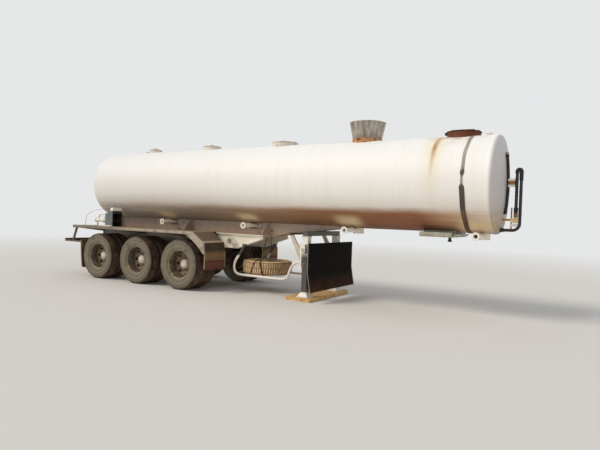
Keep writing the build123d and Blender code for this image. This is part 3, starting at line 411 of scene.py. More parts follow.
# Rust from the front seam, strong near the top, with a yellow stain about it, and more
# round the rusted front hatch.
fray = scaled(noise(fall, 0.8, 4.0), 0.0, 1.0, -0.05, 0.05)
seam = reckon("ABSOLUTE", reckon("ADD", reckon("SUBTRACT", place[0], 3.655), fray))
thin = scaled(seam, 0.006, 0.05, 1.0, 0.0, kind="SMOOTHSTEP")
halo = scaled(seam, 0.0, 0.26, 1.0, 0.0, kind="SMOOTHSTEP")
high = ramp(rise, [(0.5, 0.0), (0.72, 0.42), (0.86, 0.92), (0.96, 0.55)])
low_part = ramp(rise, [(0.24, 0.0), (0.45, 0.3), (0.8, 0.55)])
body = mix(reckon("MULTIPLY", halo, low_part), body, "#EBDFAE")
body = mix(reckon("MULTIPLY", thin, high), body, "#B97F3C")
rusted_hatch = (3.93, 0.0, tank_z + tank_r)
about = fed("VectorMath", {0: where, 1: rusted_hatch}, out="Value", operation="DISTANCE")
about = scaled(about, 0.27, 0.62, 0.95, 0.0)
drips = scaled(noise(where, 9.0, 6.0, 0.65), 0.42, 0.66)
body = mix(reckon("MULTIPLY", about, drips), body, "#C98A56")
# The front head is multiplied towards lavender-grey: painted shade.
face = scaled(place[0], barrel_front - 0.004, barrel_front + 0.012, 0.0, 0.8)
feed(shader, "Base Color", mix(face, body, "#CDC9CB", "MULTIPLY"))
feed(shader, "Roughness", scaled(edge, 0.0, 1.0, 0.58, 0.66))
shader.inputs["Coat Weight"].default_value = 0.1
shader.inputs["Coat Roughness"].default_value = 0.45
carve(shader, noise(where, 1.1, 2.0), 0.35, 0.02)
tank = piece("tank_skin", tank_shape, tank_enamel, soft=40.0)
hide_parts("tank_barrel", "tank_heads")

# Hatch necks: four short collars of rolled plate, fillet-welded to the tank's crown and
# ended by a rolled ring, each with a hinge block behind; in their mouths a dark disc is
# painted shade for the tank's inside.


along_x, along_y = (1.0, 0.0, 0.0), (0.0, 1.0, 0.0)


def capped(rows):
    """Join rows of points, each a closed outline, and put a face over both ends."""
    points, faces = grid(rows, wrap_v=True)
    end = np.arange(rows.shape[1])
    return points, faces + [end[None, ::-1], (len(points) - len(end) + end)[None]]


def carried(path, section, up=(0.0, 0.0, 1.0), closed=False):
    """Carry a flat section of (side, up) points along a path, mitred at its corners.

    Each section stands square to the mean of the run before and the run after it, and is
    stretched across the bend by one over the cosine of half the turn. The ends are capped.
    """
    path = np.asarray(path, float)
    section = np.asarray(section, float)
    step = np.diff(np.vstack([path, path[:1]]) if closed else path, axis=0)
    step /= np.linalg.norm(step, axis=1)[:, None]
    before = np.roll(step, 1, 0) if closed else np.vstack([step[:1], step])
    after = step if closed else np.vstack([step, step[-1:]])
    mean = before + after
    mean /= np.linalg.norm(mean, axis=1)[:, None]
    side = np.cross(np.broadcast_to(up, mean.shape), mean)
    side /= np.linalg.norm(side, axis=1)[:, None]
    top = np.cross(mean, side)
    reach = section[:, 0, None] * side[:, None] + section[:, 1, None] * top[:, None]
    bend = after - before
    size = np.linalg.norm(bend, axis=1)[:, None]
    bend = np.divide(bend, size, out=np.zeros_like(bend), where=size > 1e-6)
    extra = 1 / np.sqrt(np.clip(1 - size ** 2 / 4, 0.1, 1)) - 1
    reach += (extra * (reach * bend[:, None]).sum(2))[..., None] * bend[:, None]
    rows = path[:, None] + reach
    return grid(rows, wrap_u=True, wrap_v=True) if closed else capped(rows)


def ring(radius, count):
    """The section of a round bar: count points on a circle."""
    turn = turns(count)
    return np.stack([radius * np.cos(turn), radius * np.sin(turn)], 1)


def slab(wide, high, corner=0.004):
    """The section of a bar with each corner broken: eight points, side by up."""
    x, z, c = wide / 2, high / 2, min(corner, 0.45 * wide, 0.45 * high)
    right = np.array([(x - c, -z), (x, c - z), (x, z - c), (x - c, z)])
    return np.concatenate([right, -right])


def block(x0, x1, y0, y1, z0, z1, corner=0.003):
    """A plate or block between two corners: a broken-cornered section carried along X."""
    c = min(corner, (x1 - x0) / 3)
    path = np.zeros((4, 3)) + (0, (y0 + y1) / 2, (z0 + z1) / 2)
    path[:, 0] = (x0, x0 + c, x1 - c, x1)
    points, faces = carried(path, slab(y1 - y0, z1 - z0, corner))
    less = np.array([1.0, 0, 0, 1.0])[:, None, None] * 2 * corner / np.array([1, y1 - y0, z1 - z0])
    less[..., 0] = 0
    middle = path[:, None]
    points = (points.reshape(4, 8, 3) - middle) * (1 - np.clip(less, 0, 0.9)) + middle
    return points.reshape(-1, 3), faces


def joined(*shapes):
    """Put shapes together as one, each face's point numbers raised by the points before it."""
    sizes = {}
    before = 0
    for points, faces in shapes:
        for part in faces:
            if len(part):
                sizes.setdefault(part.shape[1], []).append(part + before)
        before += len(points)
    points = np.concatenate([points for points, _ in shapes])
    return points, [np.concatenate(rows) for rows in sizes.values()]


def copies(shape, places):
    """Repeat a shape once at each of an array of offsets."""
    points, faces = shape
    places = np.asarray(places, float).reshape(-1, 3)
    first = np.arange(len(places)) * len(points)
    return ((points[None] + places[:, None]).reshape(-1, 3),
            [(rows[None] + first[:, None, None]).reshape(-1, rows.shape[1]) for rows in faces])


def moved(shape, offset):
    """Shift a shape by an offset."""
    return shape[0] + offset, shape[1]


def turned(shape, angle, axis=2, about=(0.0, 0.0, 0.0)):
    """Turn a shape by an angle in degrees about an axis through a point."""
    spin = np.array(Matrix.Rotation(radians(angle), 3, "XYZ"[axis]))
    return (shape[0] - about) @ spin.T + about, shape[1]


def mirrored(shape):
    """Reflect a shape in the centre plane, and reverse its faces so that they stay outwards."""
    return shape[0] * (1, -1, 1), [rows[:, ::-1] for rows in shape[1]]


def both_sides(shape):
    """The shape on the right together with its reflection on the left."""
    return joined(shape, mirrored(shape))


def bolt(radius, height, axis=2, way=1.0):
    """A hexagon head on its washer, standing on the origin along an axis."""
    size = (height, radius)
    washer = spun(np.array([(0.0, 1.35), (0.18, 1.35), (0.18, 0.5)]) * size, 12, axis)
    head = spun(np.array([(0.1, 0.98), (0.85, 1.0), (1.0, 0.82), (1.0, 0.0)]) * size, 6, axis)
    points, faces = joined(washer, head)
    flip = np.ones(3)
    flip[axis] = way
    return points * flip, faces


# Each hatch has its place along X, its neck's radius and its neck's height.
hatches = {"a": (-3.29, 0.135, 0.045), "b": (-1.51, 0.185, 0.05), "c": (0.425, 0.25, 0.05),
           "d": (3.965, 0.27, 0.06)}
tank_top = tank_z + tank_r
hinge_gap = 0.028


def on_crown(place, radius, turn):
    """Points round a place on the tank's crown: at each turn, the height of its circle."""
    y = radius * np.sin(turn)
    return np.stack([place + radius * np.cos(turn), y, tank_z + np.sqrt(tank_r ** 2 - y ** 2)], -1)


def saddle(place, radius, bead_r):
    """A weld bead round a pipe that meets the tank's crown: a round bar along their joint."""
    line = on_crown(place, radius, turns(72))
    return carried(line, ring(bead_r, 8), closed=True)


def mouth(place, radius):
    """A disc 3 mm above the tank's crown, seen down a neck."""
    span, turn = np.meshgrid(np.linspace(0, radius, 7), turns(48))
    return grid(on_crown(place, span, turn) + (0, 0, 0.003), wrap_u=True)


def mottled(name, roughness, metallic, cloud, stops, relief=None):
    """A finish that runs through the colours at stops as a noise of cloud's settings rises.

    Relief is a finer noise's scale and detail, with its bump's strength and distance.
    """
    finish, shader, where = open_finish(name, roughness, metallic)
    feed(shader, "Base Color", ramp(noise(where, *cloud), stops))
    if relief:
        carve(shader, noise(where, *relief[:2]), *relief[2:])
    return finish


neck_shapes = []
for place, radius, height in hatches.values():
    rim_z = tank_top + height
    wall = [(-0.058, radius), (height - 0.016, radius), (height - 0.012, radius + 0.005),
            (height - 0.004, radius + 0.006), (height, radius + 0.002), (height, radius - 0.008),
            (height - 0.004, radius - 0.01), (-0.058, radius - 0.01)]
    neck_shapes.append(spun(wall, 72, centre=(place, 0, tank_top), closed=True))
    neck_shapes.append(saddle(place, radius + 0.002, 0.006))
    pin_x = place - radius - hinge_gap
    neck_shapes.append(block(pin_x - 0.012, place - radius + 0.004, -0.024, 0.024, rim_z - 0.026,
                             rim_z - 0.01))
    neck_shapes.append(block(pin_x - 0.012, pin_x + 0.012, -0.024, 0.024, rim_z - 0.014,
                             rim_z + 0.014))
neck_enamel = sprayed_enamel("worn white enamel with rust", "#F2EEE4", "#DCD0BC", "#B58A60", 2.86,
                             2.95, 0.2, 0.6, 0.5)
rusty_neck = sprayed_enamel("enamel rusted through on a collar", "#5A2A14", "#74391C", "#9A6B40",
                            2.8, 2.95, 0.3, 0.6, 0.7)
necks = piece("hatch_collars", tidied(joined(*neck_shapes[:12])), neck_enamel)
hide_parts("hatch_necks")
piece("hatch_collar_front", tidied(joined(*neck_shapes[12:])), rusty_neck)
# A dark disc in each neck's mouth is painted shade for the tank's inside.
inside_shade = mottled("painted shade inside the tank, rust brown", 0.85, 0.0, (22.0, 6.0),
                 [(0.35, "#0E0A08"), (0.7, "#2C1A10")])
mouths = [mouth(place, radius - 0.009) for place, radius, height in hatches.values()]
piece("hatch_mouths", tidied(joined(*mouths)), inside_shade)

# Hatch lids: pressed steel covers with a rolled edge and a raised crown, each on two hinge
# arms and a pin, held by dogs round the edge; the front one is rusted through its paint.


def bolt_ring(head, count, radius, centre, axis=2, start=0.0):
    """Repeat a bolt at equal turns on a circle that stands square to an axis."""
    turn = start + turns(count)
    spots = np.zeros((count, 3)) + centre
    spots[:, (axis + 1) % 3] += radius * np.cos(turn)
    spots[:, (axis + 2) % 3] += radius * np.sin(turn)
    return copies(head, spots)


def lid_shape(place, radius, height):
    """A cover turned about its own upright axis, its hinge arms, pin, dogs and lifting bar."""
    base = tank_top + height
    edge = radius + 0.012
    crown = 0.68 * radius
    dish = np.array([(0.0004, 0.0), (0.0004, edge - 0.01), (0.0015, edge - 0.004),
                     (0.0055, edge - 0.001), (0.0095, edge - 0.001), (0.0145, edge - 0.004),
                     (0.0165, edge - 0.01), (0.017, edge - 0.018), (0.0135, edge - 0.026),
                     (0.0145, crown + 0.018), (0.019, crown + 0.008), (0.027, crown),
                     (0.0305, crown - 0.008)])
    rest = np.linspace(crown - 0.02, 0, 6)
    dome = np.stack([0.0315 + 0.004 * (1 - (rest / crown) ** 2), rest], 1)
    cover = spun(np.concatenate([dish, dome]), 72, centre=(place, 0, base))
    pin_x = place - radius - hinge_gap
    arms = [block(pin_x - 0.012, place - radius + 0.03, y - 0.01, y + 0.01, base + 0.004,
                  base + 0.0165) for y in (-0.038, 0.038)]
    pin = carried([(pin_x, -0.048, base + 0.004), (pin_x, 0.048, base + 0.004)], ring(0.0078, 12))
    nuts = bolt_ring(bolt(0.009, 0.012), 6, edge - 0.03, (place, 0, base + 0.0135), start=pi / 3)
    grip = np.array([(0, -0.055, -0.006), (0, -0.055, 0.01), (0, -0.045, 0.018), (0, 0.045, 0.018),
                     (0, 0.055, 0.01), (0, 0.055, -0.006)]) + (place, 0, base + 0.0355)
    handle = carried(grip, ring(0.006, 8), up=along_x)
    return joined(cover, *arms, pin, nuts, handle)


lid_enamel = sprayed_enamel("chalked white enamel on pressed covers", "#E4D9C6", "#BDA58A",
                            "#8A5A38", 2.9, 2.95, 0.35, 0.58, 0.5)
rusty = mottled("steel cover, rusted through its paint", 0.82, 0.0, (9.0, 8.0, 0.68),
                [(0.34, "#1E0D07"), (0.5, "#3E1A0C"), (0.64, "#5E2C14"), (0.8, "#93643E")],
                relief=(120.0, 4.0, 0.6, 0.002))
for key, (place, radius, height) in hatches.items():
    finish, slot = (rusty, "rusty_lid") if key == "d" else (lid_enamel, "lid_paint")
    shape = tidied(lid_shape(place, radius, height))
    cover = piece("hatch_cover_" + key, shape, finish, body="lid_" + key)
    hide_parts("hatch_lid_" + key)

# The strap over the front cover: flat bar bent down at both ends, galvanised, pale with
# dust against the rust under it.
place, radius, height = hatches["d"]
crown = tank_top + height + 0.0415
bow = np.array([(-0.264, -0.0215), (-0.215, -0.0215), (-0.18, 0.0), (0.18, 0.0), (0.215, -0.0215),
                (0.264, -0.0215)])
strap_line = np.stack([place + bow[:, 0], np.full(6, -0.085), crown + bow[:, 1]], 1)
strap_ends = strap_line[[0, -1]] + [(0.02, 0, 0.003), (-0.02, 0, 0.003)]
strap = joined(carried(strap_line, slab(0.05, 0.006, 0.001)),
               copies(bolt(0.01, 0.012), strap_ends))
zinc_bar = sprayed_enamel("hot-dip zinc on flat bar, chalky", "#CFC9BB", "#AFA592", "#9C7350", 2.9,
                          2.95, 0.2, 0.62, 0.5)
piece("cover_strap", tidied(strap), zinc_bar, body="lid_d")

# The filler funnel: a cone of galvanised sheet with a rolled rim and one lapped seam,
# riveted into a rusted steel collar on the tank.
funnel_x = 2.225
sheet_low, sheet_high, roll_r = 0.03, 0.326, 0.0052
turn = turns(96)
roll = np.linspace(-1.2, 3.9, 9)
up_line = np.concatenate([np.linspace(sheet_low, sheet_high, 14), 0.3345 + roll_r * np.sin(roll),
                          np.linspace(sheet_high, sheet_low, 10)])
r_line = np.concatenate([np.linspace(0.2625, 0.3285, 14), 0.3292 + roll_r * np.cos(roll),
                         np.linspace(0.3245, 0.2585, 10)])
lobes = np.clip(np.sin(3 * turn + 0.7) + 0.5 * np.sin(5 * turn + 2.1), 0, 2)
dent = 1 - 0.006 * lobes[:, None] * np.sin(np.clip(up_line / 0.34, 0, 1) * pi) ** 2
r_line = r_line * dent
cone = np.stack([funnel_x + r_line * np.cos(turn)[:, None], r_line * np.sin(turn)[:, None],
                 np.broadcast_to(tank_top + up_line, dent.shape)], -1)
cone_shape = grid(cone, wrap_u=True, wrap_v=True)
sheet_zinc, shader, where = open_finish("galvanised sheet, dulled and streaked", 0.42, 0.75)
streak = noise(stretched(where, (13.0, 13.0, 1.2)), 1.0, 6.0, 0.6)
spangle = fed("TexVoronoi", {"Vector": where, "Scale": 55.0}, out="Color")
tone = reckon("ADD", streak, scaled(spangle, 0.0, 1.0, -0.06, 0.06))
zinc = ramp(tone, [(0.32, "#7D766B"), (0.48, "#A39C8F"), (0.62, "#C4BEB2"), (0.75, "#8C7B66")])
foot = scaled(split(where)[2], tank_top + 0.03, tank_top + 0.13, 0.85, 0.0)
foot = reckon("MULTIPLY", foot, streak, clamp=True)
feed(shader, "Base Color", mix(foot, zinc, "#8A4F28"))
feed(shader, "Roughness", scaled(streak, 0.0, 1.0, 0.34, 0.66))
funnel = piece("funnel_cone", tidied(cone_shape), sheet_zinc)
rust_collar = mottled("steel collar, orange with rust", 0.85, 0.0, (14.0, 7.0, 0.66),
                      [(0.33, "#6A3A1C"), (0.46, "#B07C48"), (0.6, "#D2AA78"), (0.76, "#E2CBA6")],
                      relief=(90.0, 4.0, 0.6, 0.002))
collar_wall = [(-0.058, 0.268), (0.008, 0.268), (0.014, 0.274), (0.024, 0.275), (0.031, 0.272),
               (0.033, 0.266), (0.033, 0.257), (-0.058, 0.257)]
rivets = bolt_ring(bolt(0.006, 0.007), 20, 0.27, (funnel_x, 0, tank_top + 0.0325))
collar_shape = joined(spun(collar_wall, 72, centre=(funnel_x, 0, tank_top), closed=True),
                      saddle(funnel_x, 0.271, 0.007), rivets)
piece("funnel_collar", tidied(collar_shape), rust_collar)
# The dark disc in the funnel's throat is painted shade for the tank's inside.
piece("funnel_throat", tidied(mouth(funnel_x, 0.258)), inside_shade)
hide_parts("filler_funnel")

# Roof vents: pressed mushroom caps on short pipes that are welded to the crown, white in
# front and bare behind.
vent_white = sprayed_enamel("bright white enamel on pressed caps", "#FBF8F0", "#F1EADC", "#C4A98C",
                            2.9, 2.94, 0.1, 0.7, 0.4)
for tag, place, radius, height, finish in (("rear", -3.565, 0.04, 0.03, lid_enamel),
                                           ("front", 4.37, 0.052, 0.055, vent_white)):
    neck = 0.6 * radius
    cap = np.array([(0.55, 0.6), (0.58, 0.96), (0.62, 1.0), (0.8, 1.0), (0.93, 0.8), (1.0, 0.35),
                    (1.0, 0.0)])
    cap = np.concatenate([[(-0.03, 0.0), (-0.03, neck)], cap * (height, radius)])
    vent = joined(spun(cap, 40, centre=(place, 0, tank_top)), saddle(place, neck + 0.001, 0.004))
    made = piece("vent_" + tag, tidied(vent), finish)
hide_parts("roof_vents")

# The strip down the right side below the front hatch: a flat steel strap shaped to the
# tank, narrow and pale above, wide and dark below, with a clip at the step.
down = np.radians(np.linspace(8.0, 179.0, 150))
wide = np.interp(np.cos(down), (-1.0, -0.6, -0.1, -0.06, 0.1, 0.14, 0.2, 0.24, 1.0),
                 (0.074, 0.078, 0.078, 0.034, 0.03, 0.06, 0.06, 0.046, 0.052))
sway = 0.006 * np.sin(3.1 * down + 0.4) + 0.003 * np.sin(11.0 * down)
cut = slab(1.0, 0.0055, 0.0016)
strip = np.zeros((len(down), 8, 3))
strip[..., 0] = 4.158 + sway[:, None] + cut[:, 0] * wide[:, None]
far_out = tank_r + 0.0038 + cut[:, 1]
strip[..., 1] = -far_out * np.sin(down)[:, None]
strip[..., 2] = tank_z + far_out * np.cos(down)[:, None]
strap_steel, shader, where = open_finish("painted steel strap, worn through below", 0.6)
scuff = noise(where, 24.0, 6.0, 0.68)
rise = scaled(split(where)[2], tank_z - tank_r, tank_z + tank_r)
rise = reckon("ADD", rise, either_way(scuff, 0.03), clamp=True)
body = ramp(rise, [(0.1, "#5A3C2A"), (0.2, "#6B5444"), (0.24, "#4E453E"), (0.455, "#4C4640"),
                   (0.47, "#8F8D88"), (0.545, "#A5A39D"), (0.56, "#3E3A36"), (0.605, "#45403A"),
                   (0.62, "#8D8A84"), (0.8, "#A9A59C"), (0.97, "#9C8C76")])
feed(shader, "Base Color", mix(scaled(scuff, 0.6, 0.68, 0.0, 0.6), body, "#7A4A2C"))
carve(shader, scuff, 0.4, 0.002)
strap_made = piece("side_strip", tidied(capped(strip)), strap_steel)
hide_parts("drain_band")

# Outlet fittings: the pipes keep their CAD shape, and each flange gets its ring of bolts and
# its gasket, zinc-plated and dull.
outlet_x = (-2.375, -0.115, 2.115, 4.345)
flange_bolts = bolt_ring(bolt(0.0075, 0.01, axis=1, way=-1.0), 6, 0.051, (0, -0.588, 0), axis=1,
                         start=pi / 2)
gasket = spun([(-0.588, 0.0635), (-0.584, 0.0635), (-0.584, 0.045), (-0.588, 0.045)], 40, axis=1,
              closed=True)
fitting = tidied(joined(flange_bolts, gasket))
bolt_zinc = mottled("zinc-plated bolts, gone dull", 0.45, 0.8, (60.0, 4.0),
                    [(0.35, "#8B867C"), (0.55, "#B4AFA5"), (0.72, "#7C5A40")])
piece("outlet_bolts", copies(fitting, [(x, 0, 1.33) for x in outlet_x]), bolt_zinc)

# The kingpin: a forged and turned steel pin with a necked waist and a rounded collar,
# black with grease, its flange let into the skid plate.
pin_line = [(1.2062, 0.0), (1.2062, 0.03), (1.2085, 0.0345), (1.2115, 0.0358), (1.2265, 0.0358),
            (1.2297, 0.0345), (1.2325, 0.029), (1.2365, 0.0262), (1.242, 0.0254), (1.274, 0.0254),
            (1.28, 0.027), (1.285, 0.031), (1.2903, 0.037), (1.2903, 0.0596), (1.3015, 0.0596),
            (1.3015, 0.0)]
greased = mottled("forged steel under black grease", 0.3, 0.6, (45.0, 4.0),
                  [(0.4, "#1E1B19"), (0.62, "#4C443C")])
pin_made = piece("coupling_pin", tidied(spun(pin_line, 56, centre=(3.8, 0, 0))), greased)
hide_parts("kingpin")

# Running gear: slipper leaf springs over square axle beams, with hangers, rocking
# equalisers and torque arms between them; forged and rolled steel, bare or thinly
# painted, under road dust. Plates and long bolts clamp each spring to its axle.


def road_steel(name, deep, mid, dust, scale=16.0, roughness=0.72, metallic=0.0):
    """Steel of the undercarriage: dark where it is sheltered, dusty red-brown on what faces up."""
    finish, shader, where = open_finish(name, roughness, metallic)
    cloud = noise(where, scale, 6.0, 0.66)
    tone = ramp(cloud, [(0.34, deep), (0.62, mid)])
    lying = scaled(split(where.node.outputs["Normal"])[2], -0.2, 0.9, 0.12, 0.85)
    feed(shader, "Base Color", mix(reckon("MULTIPLY", lying, cloud, clamp=True), tone, dust))
    carve(shader, noise(where, 130.0, 4.0), 0.45, 0.0015)
    return finish


spring_steel = road_steel("oil-quenched spring leaves, dusty", "#3A2F28", "#5A4A3E", "#8E6A4E")
dress(spring_steel, "leaf_springs", "equalisers")
axle_black = road_steel("black chassis paint on forgings, dusty", "#2A2522", "#4A3F37", "#8A6346")
dress(axle_black, "axles", "torque_arms", "brake_chambers", "air_reservoir")
hanger_paint = sprayed_enamel("enamel on spring hangers, caked with road film", "#5C5146",
                              "#463B32", "#7A5A42", 0.58, 0.95, 0.4)
dress(hanger_paint, "spring_hangers")
axle_x = (-1.225, -2.475, -3.725)
rail_side = 0.45
stud_spots = [(x, y, 0) for y in (-0.062, 0.062) for x in (-0.076, 0.076)]
stud_rod = carried([(0, 0, 0.412), (0, 0, 0.724)], ring(0.009, 10), up=along_y)
stud = joined(stud_rod, moved(bolt(0.013, 0.014), (0, 0, 0.7085)),
              moved(bolt(0.013, 0.014, way=-1.0), (0, 0, 0.4225)))
plates = [block(-0.1, 0.1, -0.076, 0.076, *heights)
          for heights in ((0.6925, 0.7085), (0.4225, 0.438))]
clamp = joined(copies(stud, stud_spots), *plates)
clip_sides = ((-0.047, -0.041, 0.64, 0.712), (0.041, 0.047, 0.64, 0.712),
              (-0.047, 0.047, 0.706, 0.712))
clip = joined(*[block(-0.016, 0.016, *side) for side in clip_sides])
clamps = copies(clamp, [(x, -rail_side, 0) for x in axle_x])
clips = copies(clip, [(x + way * 0.29, -rail_side, 0.013) for x in axle_x for way in (-1, 1)])
piece("spring_clamps", tidied(both_sides(joined(clamps, clips))), axle_black)

# Slack adjusters and chamber rods: each camshaft carries a short arm that its brake
# chamber's rod pulls; forged, black, dusty. Clamp rings hold the chambers' two halves.
lever = carried([(-0.105, -0.365, 0.505), (-0.105, -0.365, 0.59)], slab(0.05, 0.022), up=along_y)
push = carried([(-0.11, -0.335, 0.505), (-0.11, -0.365, 0.585)], ring(0.008, 8), up=along_x)
chamber = (0, -0.33, 0.505)
band = spun([(-0.15, 0.07), (-0.15, 0.0755), (-0.14, 0.0785), (-0.13, 0.0755), (-0.13, 0.07)], 32,
            axis=0, centre=chamber, closed=True)
plug = spun([(-0.221, 0.0), (-0.221, 0.016), (-0.208, 0.018)], 12, axis=0, centre=chamber)
brake_bits = joined(lever, push, band, plug)
piece("brake_fittings", tidied(both_sides(copies(brake_bits, [(x, 0, 0) for x in axle_x]))),
      axle_black)

# Air lines: thin nylon and rubber tubes clipped along the inside of the right rail, with a
# drop to each brake chamber.
run_x = np.linspace(-4.3, -0.6, 60)
main_line = np.stack([run_x, np.full(60, 0.405), 0.985 + 0.006 * np.sin(run_x * 7.0)], 1)
share = np.linspace(0, 1, 16)
sag = np.sin(share * pi)
drops = [np.stack([x - 0.16 - 0.03 * sag, 0.4 - 0.07 * share,
                   0.985 - 0.402 * share - 0.05 * sag], 1) for x in axle_x]
drops += [line * (1, -1, 1) for line in drops]
main_lines = [carried(line, ring(0.007, 8)) for line in (main_line, main_line + (0, -0.004, 0.03))]
tubing = joined(*main_lines, *[carried(line, ring(0.009, 8), up=along_x) for line in drops])
nylon = mottled("black nylon air line, dusty", 0.5, 0.0, (30.0, 4.0),
                [(0.4, "#1D1B1A"), (0.65, "#5E4737")])
piece("air_lines", tidied(tubing), nylon)

# Wheels: pressed steel discs with eight hand holes, riveted into rolled drop-centre rims,
# two back to back on each hub; sprayed cream, dusty, with the hub's cap worn pale, and
# the rim's barrel and the deep side of the dish darkened as painted shade.
axle_z = 0.505
mount_side = 0.935
hole_r, hole_ring, holes = 0.031, 0.208, 8
disc_wall = 0.0135
slope_in = np.array([(0.014, 0.177), (0.1185, 0.237)])


def about_axle(out, radius, turn):
    """Points at a distance outwards to the right, a radius and a turn from the top."""
    return np.stack([radius * np.sin(turn), np.broadcast_to(-out, (radius * turn).shape),
                     radius * np.cos(turn)], -1)


def disc_zone(start, end, hole_at, wall):
    """One eighth of a disc's cone, with its hand hole, as a shell of the given wall.

    The zone runs from start to end, points of (outwards, radius). Rings blend the zone's
    outline, 12 steps along each arc and 6 along each side, into the hole's circle.
    """
    run, side = np.arange(12) / 12, np.arange(6) / 6
    across = np.concatenate([run, np.ones(6), 1 - run, np.zeros(6)]) * 2 - 1
    along = np.concatenate([np.zeros(12), side, np.ones(12), 1 - side])
    length = np.hypot(*(end - start))
    arc = hole_ring * pi / holes
    flat = np.stack([across * arc, (along - hole_at) * length], 1)
    round_point = hole_r * flat / np.linalg.norm(flat, axis=1)[:, None]
    blend = np.array([1.0, 0.62, 0.3, 0.1, 0.0])[:, None, None]
    spread = flat * blend + round_point * (1 - blend)
    turn = spread[..., 0] / arc * pi / holes
    part = hole_at + spread[..., 1] / length
    turn[0] = across * pi / holes
    out = start[0] + part * (end - start)[0]
    radius = start[1] + part * (end - start)[1]
    normal = np.array([-(end - start)[1], (end - start)[0]]) / length
    inner = np.stack([out[::-1] + wall * normal[0], radius[::-1] + wall * normal[1], turn[::-1]],
                     -1)
    both = np.concatenate([np.stack([out, radius, turn], -1), inner])
    return grid(about_axle(*np.moveaxis(both, -1, 0)), wrap_v=True)


zone = disc_zone(slope_in[0], slope_in[1], 0.515, disc_wall)
cone = joined(*[turned(zone, 360.0 / holes * k, axis=1) for k in range(holes)])
slope_out, slope_up = slope_in[1] - slope_in[0]
wall_dir = disc_wall * np.array([-slope_up, slope_out]) / np.hypot(slope_up, slope_out)
back_in, back_out = slope_in + wall_dir
flat_part = [slope_in[0], (0.014, 0.172), (0.014, 0.1056), (0.0004, 0.1056), (0.0004, 0.186),
             (0.0015, 0.1885), back_in]
rim_part = [slope_in[1], (0.143, 0.239), (0.189, 0.25), (0.2, 0.256), (0.255, 0.271),
            (0.264, 0.277), (0.27, 0.2835), (0.2745, 0.285), (0.277, 0.288), (0.2765, 0.2935),
            (0.2725, 0.2965), (0.266, 0.2963), (0.26, 0.292), (0.185, 0.2625), (0.145, 0.2625),
            (0.07, 0.292), (0.064, 0.2963), (0.0575, 0.2965), (0.0535, 0.2935), (0.053, 0.288),
            (0.059, 0.283), (0.08, 0.274), back_out]


def steel_turn(profile, count=96):
    """Turn a profile of (outwards, radius) about the axle line, its first point at the top."""
    return grid(about_axle(*np.asarray(profile, float).T, turns(count)[:, None]), wrap_u=True)


rim_shape = tidied(joined(cone, steel_turn(flat_part), steel_turn(rim_part)))
nuts = bolt_ring(bolt(0.0125, 0.026, axis=1, way=-1.0), 10, 0.14, (0, -0.014, 0), axis=1)
hub_line = [(-0.014, 0.1035), (0.09, 0.1035), (0.098, 0.1), (0.099, 0.094), (0.114, 0.0925),
            (0.124, 0.089), (0.13, 0.082), (0.133, 0.074), (0.1342, 0.064), (0.136, 0.062),
            (0.142, 0.058), (0.1445, 0.052), (0.1447, 0.0)]
cap_bolts = bolt_ring(bolt(0.0065, 0.008, axis=1, way=-1.0), 8, 0.078, (0, -0.131, 0), axis=1,
                      start=0.2)
drum_line = np.array([(0.9205, 0.105), (0.9205, 0.172), (0.9005, 0.172), (0.9005, 0.12),
                      (0.856, 0.12), (0.8545, 0.203), (0.85, 0.205), (0.662, 0.205),
                      (0.656, 0.203), (0.655, 0.189), (0.84, 0.189), (0.84, 0.043)])


def stored(shader, name):
    """The number that each point of the mesh keeps under a name."""
    return add_node(shader.id_data, "Attribute", attribute_name=name).outputs["Fac"]


def written(made, name, values):
    """Keep one number per point on the mesh, for its finish to read."""
    numbers = made.data.attributes.new(name, "FLOAT", "POINT").data
    numbers.foreach_set("value", np.asarray(values, np.float32))


wheel_cream, shader, where = open_finish("cream wheel enamel, road dust, painted shade in dish", 0.6)
cloud = noise(where, 12.0, 6.0, 0.65)
band_at = reckon("ADD", stored(shader, "from_axle"), either_way(cloud, 0.012))
band_at = scaled(band_at, 0.0, 0.3)
# The dark band over the rim's barrel is painted shade in the deep dish.
ring_tone = ramp(band_at, [(0.0, "#E6DACA"), (0.29, "#DDCFBC"), (0.36, "#B5A58C"),
                           (0.45, "#9A8A72"), (0.6, "#BDB095"), (0.69, "#A3957A"),
                           (0.79, "#4A3B2D"), (0.885, "#54473A"), (0.93, "#8E8568"),
                           (0.965, "#B5AC8C"), (0.99, "#A79F82")])
# Darker towards the wheel's inner side: painted shade deep in the dish.
dish_shade = scaled(stored(shader, "outwards"), -0.02, 0.1, 0.55, 0.0)
body = mix(dish_shade, ring_tone, "#5C4736")
feed(shader, "Base Color", mix(scaled(cloud, 0.5, 0.68, 0.0, 0.55), body, "#93725A"))
carve(shader, noise(where, 90.0, 4.0), 0.35, 0.0015)
outer_wheel = joined(rim_shape, tidied(joined(nuts, steel_turn(hub_line))), tidied(cap_bolts))
inner_wheel = turned(rim_shape, 180.0)
wheel_set = joined(outer_wheel, inner_wheel, tidied(steel_turn(drum_line - (mount_side, 0))))
wheel_right = moved(wheel_set, (0, -mount_side, axle_z))
for number, x in enumerate(axle_x, 1):
    for tag, shape in (("r", wheel_right), ("l", mirrored(wheel_right))):
        pair = "wheels_" + tag + str(number)
        made = piece(pair, moved(shape, (x, 0, 0)), wheel_cream, body=pair)
        written(made, "from_axle", np.hypot(shape[0][:, 0], shape[0][:, 2] - axle_z))
        written(made, "outwards", np.abs(np.abs(shape[0][:, 1]) - mount_side))
        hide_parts("wheel_" + tag + str(number))

